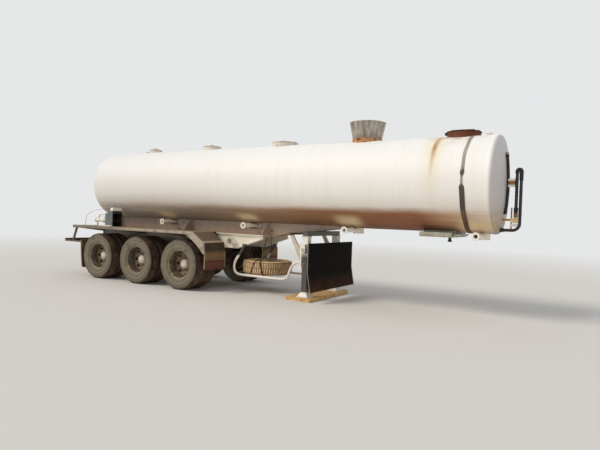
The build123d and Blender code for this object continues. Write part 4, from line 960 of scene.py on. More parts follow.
# Tyres: moulded rubber carcasses with rounded shoulders and five rows of tread blocks, the
# sidewalls grey-tan with dust and the tread red with earth.
base_r = 0.4925
half = np.array([(0.1215, 0.2972), (0.127, 0.303), (0.129, 0.312), (0.13, 0.323), (0.133, 0.327),
                 (0.1335, 0.331), (0.1315, 0.335), (0.134, 0.36), (0.1362, 0.385), (0.1378, 0.408),
                 (0.1378, 0.425), (0.1365, 0.438), (0.1352, 0.44), (0.1345, 0.444),
                 (0.1325, 0.456), (0.129, 0.468), (0.1255, 0.476), (0.1262, 0.48), (0.1215, 0.488),
                 (0.111, 0.4935), (0.095, 0.4955), (0.05, 0.496), (0.0, 0.496)])
carcass_line = np.concatenate([half, half[-2::-1] * (-1, 1), [(-0.11, 0.2972), (0.11, 0.2972)]])


def tyre_shape(steps, rows, count, lug):
    """A tyre about the Y axis: the turned carcass, and rows of blocks standing on its tread.

    Every block fills a share of its pitch between two side distances, with its far end
    turned on by the skew. It stands on a base a little inside the carcass and is drawn in
    to 96 and then 90 % at its top, which past 85 mm from the middle falls by lug per metre.
    """
    out, radius = carcass_line.T
    shell = about_axle(-out, radius, turns(steps)[:, None])
    blocks = []
    for near, far, skew, share, top_r, start in rows:
        a = (np.arange(count) + start) * 2 * pi / count
        reach = share * pi / count
        corner_a = np.stack([a - reach, a + reach, a + reach + skew, a - reach + skew], 1)
        corner_y = np.broadcast_to((near, near, far, far), (count, 4))
        mid_a, mid_y = corner_a.mean(1, keepdims=True), corner_y.mean(1, keepdims=True)
        ringed = []
        for level, pull in ((base_r, 1.0), (top_r - 0.0015, 0.96), (top_r, 0.9)):
            ca = mid_a + (corner_a - mid_a) * pull
            cy = mid_y + (corner_y - mid_y) * pull
            drop = level - lug * np.clip(np.abs(cy) - 0.085, 0, 1) * (level > base_r)
            ringed.append(about_axle(-cy, drop, ca))
        points = np.stack(ringed, 1).reshape(-1, 3)
        base = (np.arange(count) * 12)[:, None, None]
        quads = [(k, k + 1, k + 5, k + 4) if k % 4 < 3 else (k, k - 3, k + 1, k + 4)
                 for k in range(8)]
        blocks.append((points, [(base + np.array(quads + [(8, 9, 10, 11)])).reshape(-1, 4)]))
    return joined(tidied(grid(shell, wrap_u=True, wrap_v=True)), tidied(joined(*blocks)))


road_rows = ((-0.113, -0.072, 0.01, 0.62, 0.5042, 0.0), (-0.065, -0.026, -0.02, 0.7, 0.5048, 0.5),
             (-0.019, 0.019, 0.02, 0.7, 0.5048, 0.0), (0.026, 0.065, -0.02, 0.7, 0.5048, 0.5),
             (0.072, 0.113, 0.01, 0.62, 0.5042, 0.0))
road_tyre = tyre_shape(96, road_rows, 54, 0.3)
tyre_rubber, shader, where = open_finish("moulded tyre rubber under road dust", 0.9)
from_axle = stored(shader, "from_axle")
cloud = noise(where, 7.0, 7.0, 0.66)
band_at = reckon("ADD", from_axle, either_way(cloud, 0.01))
band_at = scaled(band_at, 0.29, 0.51)
ring_tone = ramp(band_at, [(0.0, "#453C32"), (0.07, "#837C69"), (0.16, "#6B6555"),
                           (0.36, "#7D7664"), (0.52, "#767060"), (0.57, "#5B5547"),
                           (0.63, "#777161"), (0.78, "#685E4E"), (0.88, "#463A30"),
                           (0.94, "#4E382B"), (1.0, "#7A5640")])
body = mix(scaled(cloud, 0.46, 0.7, 0.0, 0.65), ring_tone, "#857861")
body = mix(scaled(cloud, 0.44, 0.3, 0.0, 0.7), body, "#383630")
# Darker in the grooves between the blocks: painted shade.
groove_shade, tread = scaled(from_axle, 0.502, 0.4985, 0.0, 0.8), scaled(from_axle, 0.488, 0.492)
feed(shader, "Base Color", mix(reckon("MULTIPLY", groove_shade, tread), body, "#241B14"))
carve(shader, noise(where, 80.0, 5.0, 0.6), 0.4, 0.002)
outer_tyre = moved(road_tyre, (0, -1.1, axle_z))
inner_tyre = moved(turned(road_tyre, 3.0, axis=1), (0, -0.77, axle_z))
twin = joined(outer_tyre, inner_tyre)
for number, x in enumerate(axle_x, 1):
    for tag, shape in (("r", twin), ("l", mirrored(twin))):
        roll = 17.0 * number + (8.0 if tag == "l" else 0.0)
        placed = moved(turned(shape, roll, axis=1, about=(0, 0, axle_z)), (x, 0, 0))
        made = piece("tyre_pair_" + tag + str(number), placed, tyre_rubber,
                     body="wheels_" + tag + str(number), soft=40.0)
        written(made, "from_axle", np.hypot(shape[0][:, 0], shape[0][:, 2] - axle_z))
        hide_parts("tyres_" + tag + str(number))

# Decks and guards over the wheels: folded steel sheet on brackets from the rails, sloped down
# in front; grey-brown paint, pale along edge and bend, dusty on top, with painted shade on
# its sloped, front and downward faces and under the side lip behind the front.
deck_paint, shader, where = open_finish("grey-brown paint on folded sheet, dusty, painted shade", 0.6)
place = split(where)
facing = split(where.node.outputs["Normal"])
cloud = noise(where, 6.0, 7.0, 0.66)
top_tone = ramp(cloud, [(0.32, "#6A5D4E"), (0.5, "#8A7861"), (0.68, "#A08B70")])
pale_tone = ramp(cloud, [(0.34, "#8D8273"), (0.52, "#B3A793"), (0.7, "#7D6550")])
front_shade_tone = ramp(cloud, [(0.34, "#2C2116"), (0.55, "#3E3021"), (0.74, "#57452F")])
# Side faces behind the deck's front darken, most under the lip: painted shade under the lip, and
# darker towards the rear.
behind = scaled(place[0], -0.9, -1.02)
under_lip = reckon("MAXIMUM", scaled(place[2], 1.132, 1.118, 0.0, 0.85),
                   scaled(place[0], -2.6, -3.3, 0.0, 0.55))
pale_tone = mix(reckon("MULTIPLY", behind, under_lip), pale_tone, "#4E3A2D")
sideways = scaled(reckon("ABSOLUTE", facing[1]), 0.75, 0.95)
body = mix(sideways, top_tone, pale_tone)
# Sloped faces, turned forwards, are darker: painted shade.
sloped = scaled(facing[0], 0.25, 0.5)
body = mix(sloped, body, "#6F5D49")
bend_line = scaled(place[2], 1.01, 0.998, 0.0, 0.9)
body = mix(reckon("MULTIPLY", bend_line, sloped), body, "#B5A488")
# Faces turned forwards, inside the outer edge, take a dark tone: painted shade.
fore = scaled(facing[0], 0.75, 0.92)
outer = scaled(reckon("ABSOLUTE", place[1]), 1.205, 1.235, 1.0, 0.25)
body = mix(reckon("MULTIPLY", fore, outer), body, front_shade_tone)
# Faces turned downwards darken: painted shade.
downward_shade = scaled(facing[2], -0.4, -0.8)
feed(shader, "Base Color", mix(downward_shade, body, "#33281F"))
carve(shader, noise(where, 55.0, 5.0), 0.3, 0.002)
dress(deck_paint, "wheel_decks")
deck_edge, deck_inner, deck_top = 1.25, 0.64, 1.17
rim_y = 0.004 - deck_edge
rim_rod = carried([(-4.6, rim_y, deck_top + 0.002), (-0.855, rim_y, deck_top + 0.002),
                   (-0.547, rim_y, 0.976)], ring(0.0038, 8))
bolt_spots = [(x, y, deck_top) for x in (-4.54, -3.1, -1.85, -0.9)
              for y in (-1.19, -1.02, -0.85, -0.69)]
deck_bolts = copies(bolt(0.008, 0.007), bolt_spots)
bar_sides = (0.012 - deck_edge, -deck_inner - 0.006)
bolt_sides = np.linspace(-1.22, -0.67, 6)
lap_bar = block(-0.511, -0.506, *bar_sides, 0.778, 0.812)
lap_bolts = copies(bolt(0.008, 0.006, axis=0), [(-0.5065, y, 0.795) for y in bolt_sides])
rear_bar = block(-4.2935, -4.2885, *bar_sides, 0.784, 0.826)
rear_bolts = copies(bolt(0.009, 0.01, axis=0), [(-4.2885, y, 0.806) for y in bolt_sides])
dusty_zinc = sprayed_enamel("zinc-plated bars and bolts, dusty", "#B6AC9B", "#8F8372", "#8C6C50",
                            0.6, 1.05, 0.45, 0.62, 0.55)
piece("deck_fixings", tidied(both_sides(joined(rim_rod, deck_bolts))), dusty_zinc)
clamp_dark = sprayed_enamel("clamp bars and bolts, dark with oily dust", "#4A3C2C", "#5E4D39",
                            "#7A6248", 0.7, 0.9, 0.4, 0.66, 0.7)
flap_clamps = both_sides(joined(lap_bar, lap_bolts, rear_bar, rear_bolts))
piece("flap_clamps", tidied(flap_clamps), clamp_dark)

# Rubber flaps: sheet 11 mm thick, clamped by a flat bar along its top edge and hanging
# in slight waves; black rubber that dust has turned tan above and red-brown below.


def flap_sheet(path, near, far, ripple, phase, count=18):
    """A hanging sheet between two side distances, as faces 11 mm apart along a path.

    A point at a share s of the way down moves along X by the ripple times s times the
    sine of 9 radians per metre of side distance, plus a phase, and a little along Z too.
    Within 55 mm of either side its lowest points rise on a quarter circle.
    """
    path = np.asarray(path, float)
    y = (near + far) / 2 - (far - near - 0.004) / 2 * np.cos(np.linspace(0, pi, count))
    step = np.gradient(path, axis=0)
    step /= np.linalg.norm(step, axis=1)[:, None]
    out = np.stack([-step[:, 2], np.zeros(len(step)), step[:, 0]], 1)
    down = np.concatenate([path + 0.0055 * out, path[::-1] - 0.0055 * out[::-1]])
    top, low = path[0, 2], path[-1, 2]
    points = np.broadcast_to(down[:, None], (len(down), count, 3)).copy()
    points[..., 1] = -y
    share = np.clip((top - 0.07 - points[..., 2]) / (top - low), 0, 1)
    points[..., 0] += ripple * share * np.sin(9.0 * y + phase)
    points[..., 2] += ripple * 0.8 * share * np.cos(5.0 * y + 2 * phase)
    into = np.clip(1 - np.minimum(y - near, far - y) / 0.055, 0, 1)
    floor_z = low + ripple + 0.055 * (1 - np.sqrt(1 - into ** 2))
    points[..., 2] = np.maximum(points[..., 2], floor_z)
    shape, faces = grid(points, wrap_u=True)
    column = np.arange(len(down)) * count
    faces += [column[None], (column + count - 1)[None, ::-1]]
    return shape, faces


down = np.linspace(0, 1, 22)
front_path = np.stack([-0.5235 + 0.0085 * np.clip(down / 0.17, 0, 1), np.zeros(22),
                       0.82 - 0.38 * down], 1)
rear_path = np.stack([-4.299 + 0.066 * np.clip((down - 0.1) / 0.9, 0, 1) ** 1.2, np.zeros(22),
                      0.829 - 0.634 * down], 1)
flap_shapes = []
for hung, ripple, right_phase, left_phase in ((front_path, 0.006, 0.8, 2.0),
                                              (rear_path, 0.008, 0.3, 1.9)):
    flap_shapes.append(flap_sheet(hung, deck_inner, deck_edge, ripple, right_phase))
    flap_shapes.append(mirrored(flap_sheet(hung, deck_inner, deck_edge, ripple, left_phase)))
flap_rubber, shader, where = open_finish("insertion rubber sheet, dusty", 0.85)
place = split(where)
cloud = noise(where, 9.0, 6.0, 0.62)
level_at = reckon("ADD", place[2], either_way(cloud, 0.018))
level_at = scaled(level_at, 0.15, 0.85)
body = ramp(level_at, [(0.0, "#6E4532"), (0.36, "#5E3324"), (0.61, "#704130"), (0.655, "#4C2E20"),
                       (0.7, "#7C6140"), (0.86, "#856842"), (0.95, "#5C4E3C")])
off_middle = reckon("ABSOLUTE", reckon("SUBTRACT", reckon("ABSOLUTE", place[1]), 0.945))
outer = scaled(off_middle, 0.28, 0.296, 0.0, 0.85)
feed(shader, "Base Color", mix(outer, body, "#B9A88C"))
carve(shader, cloud, 0.35, 0.003)
flaps = piece("rubber_flaps", tidied(joined(*flap_shapes)), flap_rubber)
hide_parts("mudflaps")

# Tail: a folded channel across the back on two arms from the rails, tied to the flap bars
# at its ends; dark, dusty paint, with four oblong lamps let through it.
tail_dark = sprayed_enamel("dark chassis paint on folded channel", "#6A5F52", "#4A4038", "#8E6C50",
                           0.72, 0.86, 0.6, 0.66, 0.65)
bar_z = 0.78
bar_parts = [block(-4.893, -4.845, -deck_edge, deck_edge, bar_z, bar_z + 0.07),
             block(-4.3503, -4.3053, -deck_edge, -rail_side, bar_z, bar_z + 0.05),
             block(-4.3503, -4.3053, rail_side, deck_edge, bar_z, bar_z + 0.05)]
for way in (-1, 1):
    arm_y, tie_y = way * rail_side, way * (deck_edge - 0.02)
    bar_parts.append(block(-4.847, -4.3053, arm_y - 0.03, arm_y + 0.03, bar_z, 0.8597))
    bar_parts.append(block(-4.847, -4.348, tie_y - 0.02, tie_y + 0.02, bar_z, bar_z + 0.03))
tail = piece("tail_channel", tidied(joined(*bar_parts)), tail_dark)
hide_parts("light_bar")
circle = ring(1.0, 48)
oblong = np.sign(circle) * np.abs(circle) ** (0.3, 0.4) * (0.064, 0.029)
size_at, depth_at = np.array([(0.0, -4.892), (1.0, -4.892), (1.0, -4.9), (0.96, -4.9034),
                              (0.85, -4.9046), (0.0, -4.9048)]).T
lens = np.stack([np.broadcast_to(depth_at, (48, 6)), oblong[:, :1] * size_at,
                 bar_z + 0.035 + oblong[:, 1:] * size_at], -1)
lens = tidied(grid(lens, wrap_u=True))
back = block(-4.845, -4.8152, -0.064, 0.064, bar_z + 0.006, bar_z + 0.064, 0.006)
lamp_spots = [(0, y, 0) for y in (-1.12, -0.9, 0.9, 1.12)]
lens_red, shader, where = open_finish("moulded red acrylic lens, dusty", 0.28)
feed(shader, "Base Color", ramp(noise(where, 26.0, 5.0), [(0.42, "#8E1410"), (0.72, "#8A4030")]))
shader.inputs["IOR"].default_value = 1.49
lenses = piece("lamp_lenses", tidied(copies(lens, lamp_spots)), lens_red)
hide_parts("tail_lamps")
lamp_back = mottled("black moulded lamp body", 0.55, 0.0, (22.0, 5.0),
                    [(0.4, "#1F1C1A"), (0.7, "#6B523F")])
piece("lamp_backs", tidied(copies(back, lamp_spots)), lamp_back)

# Valve cabinet: a box of folded sheet in grey-green enamel, open to the front, under a white
# hood; behind it a discharge pipe and its bypass, inside it a header with two ball valves.
cab_rear, cab_front, cab_far, cab_near = -3.785, -3.535, -1.0, -0.73
cab_low, cab_high = 1.1703, 1.4703
cabinet_green = sprayed_enamel("grey-green enamel on folded sheet", "#6F7B7C", "#5E6869",
                               "#8A7560", 1.15, 1.25, 0.3, 0.66, 0.5)
dress(cabinet_green, "valve_cabinet")
pipe_white = sprayed_enamel("white enamel on pipework", "#FFFCF4", "#F6EEDF", "#C9AE90", 1.1, 1.24,
                            0.08, 0.68, 0.4)
dress(pipe_white, "cabinet_pipework")
hood_line = np.array([(-0.128, 0.0), (0.128, 0.0), (0.128, 0.045), (0.104, 0.07), (-0.104, 0.07),
                      (-0.128, 0.045)])
hood = carried(np.array([(-0.075, 0, 0), (0, 0, 0)]) + (cab_front, -0.872, cab_high + 0.0553),
               hood_line)
neck_box = block(cab_rear + 0.085, cab_front - 0.0005, -1.0, -0.744, cab_high + 0.0003,
                 cab_high + 0.055)
piece("cabinet_neck", tidied(neck_box), cabinet_green)
foot_rail = block(-3.95, cab_front + 0.01, -1.06, -1.0005, deck_top + 0.0003, deck_top + 0.025)
pipe_at = (0, -0.9, 1.305)
stub = spun([(-3.845, 0.036), (-3.845, 0.06), (-3.831, 0.06), (-3.831, 0.036)], 32, axis=0,
            centre=pipe_at, closed=True)
stub_bolts = bolt_ring(bolt(0.007, 0.009, axis=0, way=-1.0), 6, 0.049, (-3.845, *pipe_at[1:]),
                       axis=0)
valve = spun([(-3.985, 0.036), (-3.985, 0.05), (-3.975, 0.056), (-3.945, 0.058), (-3.915, 0.056),
              (-3.905, 0.05), (-3.905, 0.036)], 28, axis=0, centre=pipe_at)
lever = carried([(-3.945, -0.9, 1.355), (-3.945, -0.9, 1.378), (-3.975, -0.915, 1.384),
                 (-4.095, -0.955, 1.392)], slab(0.006, 0.018, 0.001), up=along_y)
piece("cabinet_fittings", tidied(joined(hood, foot_rail, stub, stub_bolts, valve, lever)),
      pipe_white)
# Thin dark sheets just inside the cabinet's walls and across the hood's front are painted shade in
# the open box.
cabinet_shade = mottled("painted shade inside the cabinet", 0.9, 0.0, (18.0, 5.0),
                      [(0.4, "#1E1A17"), (0.75, "#40362C")])
film = 0.002
rear, front, far, near, low, high = (cab_rear + 0.005, cab_front - 0.006, cab_far + 0.005,
                                     cab_near - 0.005, cab_low + 0.005, cab_high - 0.005)
walls = [(rear, rear + film, far, near, low, high), (rear, front, far, far + film, low, high),
         (rear, front, near - film, near, low, high), (rear, front, far, near, low, low + film),
         (rear, front, far, near, high - film, high)]
hood_shade = block(cab_front - 0.001, cab_front + 0.0004, -0.992, -0.752, cab_high + 0.004,
                   cab_high + 0.051, 0.0003)
lining = [hood_shade] + [block(*wall, 0.0005) for wall in walls]
piece("cabinet_lining", tidied(joined(*lining)), cabinet_shade)
header = carried([(-3.7, cab_far + 0.006, 1.3), (-3.7, cab_near - 0.006, 1.3)], ring(0.024, 16))
tap_spots = [(-3.65, -0.93, 1.3), (-3.65, -0.8, 1.3)]
tap = spun([(-0.05, 0.02), (-0.05, 0.03), (-0.03, 0.036), (0.03, 0.036), (0.05, 0.03),
            (0.07, 0.03), (0.07, 0.02)], 20, axis=0)
tap_arm = carried([(0.0, 0.0, 0.032), (0.0, 0.0, 0.055), (0.01, 0.01, 0.06), (0.075, 0.03, 0.07)],
                  slab(0.005, 0.016, 0.001), up=along_y)
valve_brass = mottled("cast brass, tarnished", 0.45, 0.9, (40.0, 4.0),
                      [(0.38, "#5E4A28"), (0.68, "#A08A55")])
piece("cabinet_valves", tidied(joined(header, copies(tap, tap_spots), copies(tap_arm, tap_spots))),
      valve_brass)

# The thin rod that arches from the deck's rear to the tank: 9 mm round steel, bare and
# dull, bolted down at its foot.


def softened(corners, parts):
    """A bent line through (x, z) corners: each run in so many parts, its corners worn round.

    Six times over, each inner point moves to a quarter of the point before it, half of
    itself and a quarter of the point after it.
    """
    share = np.linspace(0, len(corners) - 1, (len(corners) - 1) * parts + 1)
    line = np.stack([np.interp(share, np.arange(len(corners)), column) for column in corners.T], 1)
    for _ in range(6):
        line[1:-1] = 0.25 * line[:-2] + 0.5 * line[1:-1] + 0.25 * line[2:]
    return line


def at_side(line, y):
    """Stand an (x, z) line at a side distance."""
    return np.insert(line, 1, y, axis=1)


arch = np.array([(-4.5, 1.17), (-4.485, 1.26), (-4.46, 1.37), (-4.415, 1.455), (-4.34, 1.515),
                 (-4.24, 1.553), (-4.12, 1.578), (-4.02, 1.59)])
side = -1.0 + 0.39 * np.clip((np.linspace(0, 7, 43) - 2) / 5, 0, 1) ** 1.5
rod_line = at_side(softened(arch, 6), side)
rod = joined(carried(rod_line, ring(0.0045, 8), up=along_y),
             copies(bolt(0.01, 0.012), [(-4.5, -1.0, deck_top)]))
piece("arched_rod", tidied(rod), bolt_zinc)

# Landing legs: square tubes with sliding feet, a gearbox with its folded crank, a cross
# shaft and flat braces up to the frame; silver-white enamel, darkened at the top and low
# down as painted shade, and the sliding tubes dark above their white shoes with grease
# and painted shade.
leg_white = ("#FBF8F1", "#EFE8DA", "#B08C6A")
# Above 1.18 m the legs and braces darken towards black: painted shade under the frame.
shaded_top = (2, 1.178, 1.196)
leg_enamel = sprayed_enamel("silver-white enamel on flat steel", *leg_white, 0.1, 0.45, 0.15, 0.68,
                            0.5, dark_bands=[shaded_top])
dress(leg_enamel, "leg_gear")
brace_enamel = sprayed_enamel("cream enamel on flat bar, dulled by dust", "#DACAB6", "#C6B29B",
                              "#A88A6C", 0.1, 0.45, 0.15, 0.66, 0.6, dark_bands=[shaded_top])
dress(brace_enamel, "leg_braces")
# Below 0.87 m the square tubes darken towards black: painted shade beside the guard.
tube_enamel = sprayed_enamel("silver-white enamel on square tube", *leg_white, 0.1, 0.45, 0.15,
                             0.68, 0.5, dark_bands=[shaded_top, (2, 0.87, 0.8)])
dress(tube_enamel, "leg_tubes")
# The sliding tubes darken above their white shoes: part grease, part painted shade.
foot_enamel = sprayed_enamel("sliding tube in grease and painted shade, white shoe", *leg_white,
                             0.05, 0.1, 0.15, 0.68, 0.5, dark_bands=[(2, 0.15, 0.175)])
dress(foot_enamel, "leg_foot_r", "leg_foot_l")
gear_face = -0.7303
gear_spots = [(x, gear_face, z) for x in (1.312, 1.398) for z in (0.888, 0.96, 1.032)]
gear_bolts = copies(bolt(0.0065, 0.007, axis=1, way=-1.0), gear_spots)
grease_cap = spun([(0.002, 0.0), (0.002, 0.03), (-0.006, 0.03), (-0.01, 0.024), (-0.01, 0.0)], 28,
                  axis=1, centre=(1.355, gear_face, 0.96))
brace_face = -0.626
brace_bolts = copies(bolt(0.01, 0.012, axis=1, way=-1.0),
                     [(1.018, brace_face, 1.214), (1.278, brace_face, 0.69)])
flange = block(1.285, 1.425, -0.65, -0.51, 1.178, 1.1898)
flange_spots = [(x, y, 1.178) for x in (1.292, 1.418) for y in (-0.645, -0.515)]
flange_bolts = copies(bolt(0.009, 0.01, way=-1.0), flange_spots)
# Each brace is broader than its CAD bar: a plate on its front edge, and a lug below its foot.
broad_outline = np.array([(1.0352, 1.22), (1.2947, 0.7005), (1.2947, 0.842), (1.078, 1.205)])
broad = carried([(0.0, -0.586, 0.0), (0.0, brace_face, 0.0)], broad_outline)
lug_outline = np.array([(1.196, 0.592), (1.262, 0.552), (1.2947, 0.602), (1.2947, 0.632)])
lug = carried([(0.0, -0.614, 0.0), (0.0, brace_face, 0.0)], lug_outline)
piece("brace_plates", tidied(both_sides(broad)), brace_enamel)
trim = joined(both_sides(joined(brace_bolts, flange, flange_bolts, lug)), gear_bolts, grease_cap)
piece("leg_trim", tidied(trim), leg_enamel)

# Timber under the feet: two rough-sawn planks, grain along them, their ends split; pale
# softwood, with earth trodden into the saw marks.


def plank(x0, x1, y0, y1, high, seed):
    """A sawn plank along Y: a box section of 40 points at 60 stations, never wider than drawn.

    Each point is drawn in by up to 1.2 mm times the square of a sine of its station, and
    the splits are columns pulled in by 7 mm, fading out over 160 mm from the ends.
    """
    cracks = np.array([0.23, 0.41, 0.66, 0.87])
    beside = (cracks[:, None] + (-0.012, 0.0, 0.012)).ravel()
    along = np.sort(np.concatenate([np.linspace(0.02, 0.98, 5), beside]))
    top = np.stack([x0 + (x1 - x0) * along, np.full(len(along), high)], 1)
    low = top[::-1] * (1, 0)
    right_side = np.array([(x1, high * s) for s in (0.95, 0.5, 0.05)])
    left_side = np.array([(x0, high * s) for s in (0.05, 0.5, 0.95)])
    section = np.concatenate([top, right_side, low, left_side])
    number = np.arange(len(section))
    cut = np.zeros(len(section))
    cut[:len(along)] = np.abs(along[:, None] - cracks).min(1) < 0.001
    y = (y0 + (y1 - y0) * (1 - np.cos(np.linspace(0, pi, 60))) / 2)[:, None]
    from_end = np.minimum(y - y0, y1 - y)
    reach = 0.09 + 0.07 * np.sin(number * 2.7 + seed)
    depth = 0.007 * cut * np.clip(1 - from_end / reach, 0, 1)
    saw = 0.0004 * np.sin(y * 31 + number * 1.9 + seed) ** 2
    bowed = 0.0012 * np.sin(y * 3.1 + seed) ** 2 + 0.0005 * np.sin(y * 17 + seed) ** 2
    inwards = np.where(section[:, 0] < (x0 + x1) / 2, 1, -1)
    points = np.zeros((60, len(section), 3))
    points[..., 0] = section[:, 0] + inwards * bowed
    points[..., 1] = y
    points[..., 2] = section[:, 1] - np.where(section[:, 1] > high * 0.9, depth + saw, 0.0)
    return tidied(capped(points))


softwood, shader, where = open_finish("rough-sawn softwood, trodden with earth", 0.85)
grain = noise(stretched(where, (34.0, 1.3, 60.0)), 1.0, 6.0, 0.6, distortion=0.6)
body = ramp(grain, [(0.3, "#A47E4C"), (0.46, "#D1A86C"), (0.58, "#E2BF85"), (0.72, "#B98C55")])
earth = scaled(noise(where, 7.0, 6.0, 0.66), 0.5, 0.66, 0.0, 0.7)
feed(shader, "Base Color", mix(earth, body, "#A4643A"))
kerf = fed("TexWave", {"Vector": where, "Scale": 22.0, "Distortion": 2.0, "Detail": 2.0},
           out="Fac", bands_direction="Y")
carve(shader, reckon("ADD", kerf, grain), 0.4, 0.0015)
sawn = joined(plank(1.01, 1.27, -0.7, 0.9, 0.07, 0.4), plank(1.275, 1.535, -0.72, 0.86, 0.07, 2.3))
planks = piece("sawn_planks", sawn, softwood, soft=50.0)
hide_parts("timber_packers")

# Stone guard: one bent steel sheet on two stubs from the legs, flat black paint with a
# painted highlight along its side edges, and dusty near the ground.
guard_finish, shader, where = open_finish("flat black paint on sheet, dusty", 0.95)
# Flat paint under dust gives back little of the sky, less than its index alone would.
shader.inputs["Specular IOR Level"].default_value = 0.2
place = split(where)
cloud = noise(where, 5.0, 6.0, 0.62)
body = ramp(cloud, [(0.36, "#070403"), (0.55, "#0D0805"), (0.72, "#17100B")])
low = reckon("MULTIPLY", scaled(place[2], 0.5, 0.2, 0.0, 0.35), cloud)
body = mix(low, body, "#8A5C3C")
# Pale along the side edges: a painted highlight on the folded edges.
outer = scaled(reckon("ABSOLUTE", place[1]), 0.872, 0.88, 0.0, 0.8)
feed(shader, "Base Color", mix(outer, body, "#A9A29C"))
carve(shader, cloud, 0.25, 0.004)
dress(guard_finish, "stone_guard")
guard_spots = [(1.571, y, z) for y in (-0.592, -0.568, 0.568, 0.592) for z in (0.913, 0.938)]
guard_bolts = copies(bolt(0.009, 0.01, axis=0), guard_spots)
hem = [carried([(1.5735, y, 1.066), (1.5735, y, 0.562), (1.6365, y, 0.214)], ring(0.0035, 8),
               up=along_y) for y in (-0.884, 0.884)]
piece("guard_trim", tidied(joined(guard_bolts, *hem)), guard_finish)

# Spare wheel, lying with its disc up: a bar-lugged tyre bleached by sun and dust, on the
# same pressed wheel, strapped down, and hung from the frame on two thin chains.
spare_at = (0.095, 0.0, 0.49)
lug_rows = ((-0.115, -0.004, 0.03, 0.6, 0.5046, 0.0), (0.004, 0.115, -0.03, 0.6, 0.5046, 0.5))
spare_shape = turned(tyre_shape(96, lug_rows, 66, 0.25), 90.0, axis=0)
spare_rubber, shader, where = open_finish("sun-bleached tyre rubber under sand", 0.92)
from_axle = stored(shader, "from_axle")
cloud = noise(where, 8.0, 7.0, 0.66)
body = ramp(cloud, [(0.32, "#BC9F78"), (0.48, "#DCBA8C"), (0.66, "#E8C79C")])
# Darker in the grooves between the lugs: painted shade.
groove_shade, tread = scaled(from_axle, 0.5, 0.4965, 0.0, 0.75), scaled(from_axle, 0.484, 0.489)
feed(shader, "Base Color", mix(reckon("MULTIPLY", groove_shade, tread), body, "#55452F"))
carve(shader, noise(where, 80.0, 5.0), 0.4, 0.002)
made = piece("spare_lug_tyre", moved(spare_shape, spare_at), spare_rubber,
             soft=40.0)
written(made, "from_axle", np.hypot(spare_shape[0][:, 0], spare_shape[0][:, 1]))
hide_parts("spare_tyre")
flat_rim = turned(rim_shape, 90.0, axis=0)
made = piece("spare_disc_wheel", moved(flat_rim, (spare_at[0], 0, 0.655)), wheel_cream)
written(made, "from_axle", np.hypot(flat_rim[0][:, 0], flat_rim[0][:, 1]))
written(made, "outwards", np.abs(flat_rim[0][:, 2]))
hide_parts("spare_rim")
strap_path = np.array([(0.29, 0.6345), (0.43, 0.6345), (0.48, 0.62), (0.5075, 0.599),
                       (0.508, 0.49), (0.5075, 0.381), (0.48, 0.36), (0.43, 0.3455),
                       (0.29, 0.3455)])
straps = []
for lean_top, lean_low in ((-85.9, -97.4), (-73.0, -65.2)):
    bearing = np.radians(np.interp(strap_path[:, 1], (0.3455, 0.6345), (lean_low, lean_top)))
    line = np.stack([spare_at[0] + strap_path[:, 0] * np.cos(bearing),
                     strap_path[:, 0] * np.sin(bearing), strap_path[:, 1]], 1)
    cut = slab(0.03, 0.0034, 0.0008)
    mean = np.gradient(line, axis=0)
    mean /= np.linalg.norm(mean, axis=1)[:, None]
    beside = np.stack([-np.sin(bearing), np.cos(bearing), np.zeros(len(line))], 1)
    out = np.cross(mean, beside)
    straps.append(capped(line[:, None] + cut[:, :1] * beside[:, None] + cut[:, 1:] * out[:, None]))
webbing, shader, where = open_finish("woven webbing strap, stained red-brown", 0.9)
weave = fed("TexWave", {"Vector": where, "Scale": 60.0, "Distortion": 0.5}, out="Fac",
            bands_direction="Z")
tone = reckon("MULTIPLY_ADD", weave, 0.15, noise(where, 16.0, 4.0))
feed(shader, "Base Color", ramp(tone, [(0.35, "#3A1D12"), (0.75, "#6E3A26")]))
carve(shader, weave, 0.4, 0.001)
piece("spare_straps", tidied(joined(*straps)), webbing)
bow = ring(0.0105, 12)
bow[:, 1] += np.where(bow[:, 1] > 0, 0.0075, -0.0075)
flat_link = carried(at_side(bow, 0.0), ring(0.0034, 6), up=along_y, closed=True)
chains = []
for top, low in (((0.195, -0.19, 1.132), (0.15, -0.33, 0.642)),
                 ((0.309, -0.19, 1.137), (0.383, -0.33, 0.642))):
    top, low = np.array(top), np.array(low)
    x, y, z = top - low
    length = np.linalg.norm(low - top)
    count = int(length / 0.0285)
    for odd in (0, 1):
        link = turned(turned(flat_link, 90.0 * odd), -np.degrees(np.arcsin(y / length)), axis=0)
        link = turned(link, np.degrees(np.arctan2(x, z)), axis=1)
        share = (np.arange(odd, count, 2)[:, None] + 0.5) / count
        chains.append(copies(link, top + (low - top) * share))
chain_steel = road_steel("galvanised chain, gone brown", "#2A231E", "#4C4138", "#6E543C", 40.0,
                         0.6, 0.6)
piece("spare_chains", tidied(joined(*chains)), chain_steel)

# Carrier: two bent pipe hoops and two cross bars, bright white enamel on pipe, darkened
# above about 72 cm, with a clamp bolted over each hoop's end.
carrier_white = sprayed_enamel("bright white enamel on bent pipe", "#FCF8F3", "#F2EAE2", "#B9987C",
                               0.24, 0.38, 0.05, 0.7, 0.4, dark_bands=[(2, 0.715, 0.745)])
hoop_bends = np.array([(-0.1, 0.938), (-0.182, 0.79), (-0.262, 0.692), (-0.324, 0.592),
                       (-0.346, 0.49), (-0.326, 0.415), (-0.262, 0.358), (-0.15, 0.345),
                       (0.0, 0.345), (0.7, 0.345), (0.835, 0.345), (0.94, 0.382), (0.98, 0.484),
                       (1.015, 0.585), (1.078, 0.66), (1.165, 0.696), (1.2947, 0.7)])
hoop = carried(at_side(softened(hoop_bends, 5), -0.55), ring(0.024, 20), up=along_y)
hoop_seat = block(-0.135, -0.065, -0.574, -0.5053, 0.93, 0.952)
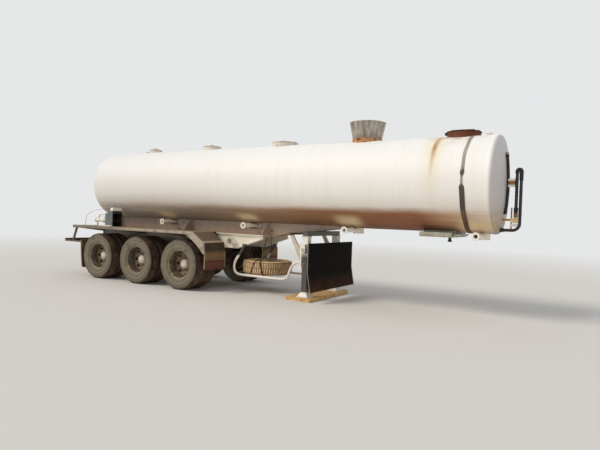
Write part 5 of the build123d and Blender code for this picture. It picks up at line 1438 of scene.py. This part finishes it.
cross_bars = [block(x - 0.025, x + 0.025, -0.55, 0.55, 0.33, 0.3517) for x in (-0.13, 0.32)]
carrier = piece("carrier_hoops", tidied(joined(both_sides(joined(hoop, hoop_seat)), *cross_bars)),
                carrier_white, soft=40.0)
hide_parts("spare_carrier")
clamp_bar = block(-0.143, -0.057, -0.59, -0.512, 0.9495, 0.9555)
clamp_bolts = copies(bolt(0.009, 0.01), [(x, -0.552, 0.9555) for x in (-0.123, -0.077)])
hoop_clamp = joined(clamp_bar, clamp_bolts)
dot = spun([(-0.2005, 0.0), (-0.2005, 0.02), (-0.206, 0.02), (-0.2085, 0.012), (-0.2085, 0.0)], 20,
           axis=1, centre=(0.314, 0, 1.245))
piece("carrier_fittings", tidied(joined(both_sides(hoop_clamp), dot)), carrier_white)

# Nose pipe: black enamelled pipe bent to the front head and held off it by clips, its top
# end closed by a pinkish plug; two white brackets and a lower arm on it carry the hose.
head_r, off_head = 4.0, 0.0262
pipe_z = np.linspace(1.69, 2.646, 32)
pipe_x = front_head[-1, 0] - head_r + np.sqrt(head_r ** 2 - (pipe_z - tank_z) ** 2) + off_head
nose_tube = carried(at_side(np.stack([pipe_x, pipe_z], 1), 0.0), ring(0.0225, 20), up=along_y)
clip_spots = [(pipe_x[1], 0, 1.725), (pipe_x[12], 0, 2.068), (pipe_x[-2], 0, 2.62)]
clip_ring = spun([(-0.012, 0.022), (-0.012, 0.0275), (0.012, 0.0275), (0.012, 0.022)], 24,
                 closed=True)
clip_foot = block(-0.06, -0.012, -0.018, 0.018, -0.012, 0.012)
pipe_enamel = mottled("black enamel on steel pipe", 0.45, 0.0, (14.0, 6.0),
                      [(0.36, "#0F0E10"), (0.56, "#1B191B"), (0.72, "#3D302A")],
                      relief=(14.0, 6.0, 0.2, 0.002))
pipe_and_clips = joined(nose_tube, copies(clip_ring, clip_spots), copies(clip_foot, clip_spots))
nose_made = piece("nose_tube", tidied(pipe_and_clips), pipe_enamel)
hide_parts("nose_pipe")
strand_front, strand_back = 4.874, 4.812
plug_line = [(2.636, 0.0), (2.636, 0.0235), (2.642, 0.025), (2.662, 0.025), (2.668, 0.0215),
             (2.677, 0.018), (2.6795, 0.012), (2.6795, 0.0)]
pink_plug = sprayed_enamel("pinkish plug, sun-faded", "#C9A3AC", "#A9848C", "#8C5A4A", 2.6, 2.67,
                           0.3, 0.6, 0.5)
piece("nose_plug", tidied(spun(plug_line, 24, centre=(pipe_x[-1], 0, 0))), pink_plug)
brackets = [block(4.685, 4.788, -0.03, 0.03, z, z + 0.035) for z in (2.125, 2.22)]
bracket_bolts = copies(bolt(0.007, 0.008), [(x, 0, 2.255) for x in (4.715, 4.765)])
bracket_white = sprayed_enamel("white enamel on folded brackets", "#FFFDF6", "#F8F2E6", "#D8C4A4",
                               1.4, 1.5, 0.2, 0.66, 0.45)
piece("nose_brackets", tidied(joined(*brackets, bracket_bolts)), bracket_white)
spacer = block(4.69, 4.785, -0.024, 0.024, 2.158, 2.222)
low_rod = carried([(4.75, 0, 1.462), (4.75, 0, 1.8)], ring(0.011, 12), up=along_y)
low_arm = block(4.61, 4.79, -0.025, 0.025, 1.59, 1.62)
band = spun([(1.656, 0.023), (1.656, 0.0318), (1.706, 0.0318), (1.706, 0.023)], 28,
            centre=(strand_back, 0, 0), closed=True)
brown_steel = road_steel("bare steel, brown with rust", "#7A4E28", "#B98A4A", "#D0A25A", 26.0, 0.8)
piece("nose_rod", tidied(joined(spacer, low_rod, low_arm, band)), brown_steel)
socket = spun([(1.556, 0.0), (1.556, 0.03), (1.56, 0.033), (1.64, 0.033), (1.648, 0.03),
               (1.65, 0.0255), (1.65, 0.0)], 32, centre=(strand_back, 0, 0))
holder = block(4.739, 4.84, -0.035, 0.035, 1.563, 1.63)
cream = sprayed_enamel("cream-yellow enamel on the hose socket", "#FFE0A4", "#F4CE92", "#C0925C",
                       1.5, 1.56, 0.2, 0.64, 0.45)
piece("hose_socket", tidied(joined(socket, holder)), cream)
piece("hose_rest", tidied(block(4.739, 4.838, -0.033, 0.033, 1.5, 1.545)), bracket_white)

# Nose hose: black rubber hose wound with a raised cord, run out of the head, up and folded
# over the brackets into its socket; a thicker sleeve guards the fold.
fold_z, low_z = 2.369, 1.44
sweep_r, fold_r = 0.11, (strand_front - strand_back) / 2
bend = np.linspace(0, pi / 2, 14)
fold = np.linspace(0, pi, 22)
corner_at = (strand_front - sweep_r, low_z + sweep_r)
corner = np.stack([np.sin(bend), -np.cos(bend)], 1) * sweep_r + corner_at
crest = np.stack([np.cos(fold), np.sin(fold)], 1) * fold_r + (strand_back + fold_r, fold_z)
outlet = np.linspace((4.65, low_z), (4.75, low_z), 6)
climb = np.linspace((strand_front, low_z + 0.125), (strand_front, fold_z - 0.012), 44)
fall = np.linspace((strand_back, fold_z - 0.012), (strand_back, 1.651), 40)
hose_xz = np.concatenate([[(4.624, low_z)], outlet, corner, climb, crest, fall])
hose_line = at_side(hose_xz, 0.0)
hose_shape = carried(hose_line, ring(0.024, 24), up=along_y)
arc = np.concatenate([[0], np.cumsum(np.linalg.norm(np.diff(hose_line, axis=0), axis=1))])
hose_rubber, shader, where = open_finish("black rubber hose, dusty on its raised cord", 0.6)
# The cord's real pitch is 9 mm, too fine at this distance, so it is drawn at 22 mm.
wound = reckon("MULTIPLY_ADD", stored(shader, "along"), 2 * pi / 0.022, stored(shader, "around"))
wound = reckon("SINE", wound)
dusty = reckon("MULTIPLY", scaled(wound, 0.2, 1.0, 0.0, 0.85), noise(where, 24.0, 5.0))
feed(shader, "Base Color", mix(dusty, "#141414", "#7C7C6C"))
carve(shader, wound, 0.5, 0.002)
made = piece("hose_loop", hose_shape, hose_rubber)
written(made, "along", np.repeat(arc, 24))
written(made, "around", np.tile(turns(24), len(arc)))
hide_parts("nose_hose")
crest_end = len(hose_line) - len(fall)
sleeve_from = int(np.argmin(np.abs(hose_xz[:crest_end - len(crest), 1] - 2.225)))
sleeve_line = np.concatenate([hose_line[sleeve_from:crest_end], [(strand_back, 0, fold_z - 0.03)]])
sleeve = carried(sleeve_line, ring(0.03, 24), up=along_y)
coupling = spun([(1.6, 0.0235), (1.6, 0.03), (1.64, 0.0315), (1.65, 0.03), (1.74, 0.03),
                 (1.752, 0.033), (1.79, 0.033), (1.8, 0.029), (1.8, 0.0235)], 28,
                centre=(strand_back, 0, 0), closed=True)
tail_end = spun([(4.592, 0.0), (4.592, 0.036), (4.612, 0.036), (4.616, 0.03), (4.64, 0.03),
                 (4.652, 0.0265), (4.652, 0.0)], 28, axis=0, centre=(0, 0, low_z))
tie = spun([(-0.008, 0.0), (-0.008, 0.0262), (0.008, 0.0262), (0.008, 0.0)], 20)
ties = copies(tie, [(strand_front, 0, 2.05), (strand_front, 0, 1.7)])
sleeve_rubber = mottled("thick black rubber sleeve and fittings", 0.5, 0.0, (30.0, 5.0),
                        [(0.38, "#0C0C0E"), (0.6, "#1A1A1B"), (0.76, "#46423A")],
                        relief=(30.0, 5.0, 0.3, 0.0015))
piece("hose_sleeve", tidied(joined(sleeve, coupling, tail_end, ties)), sleeve_rubber)
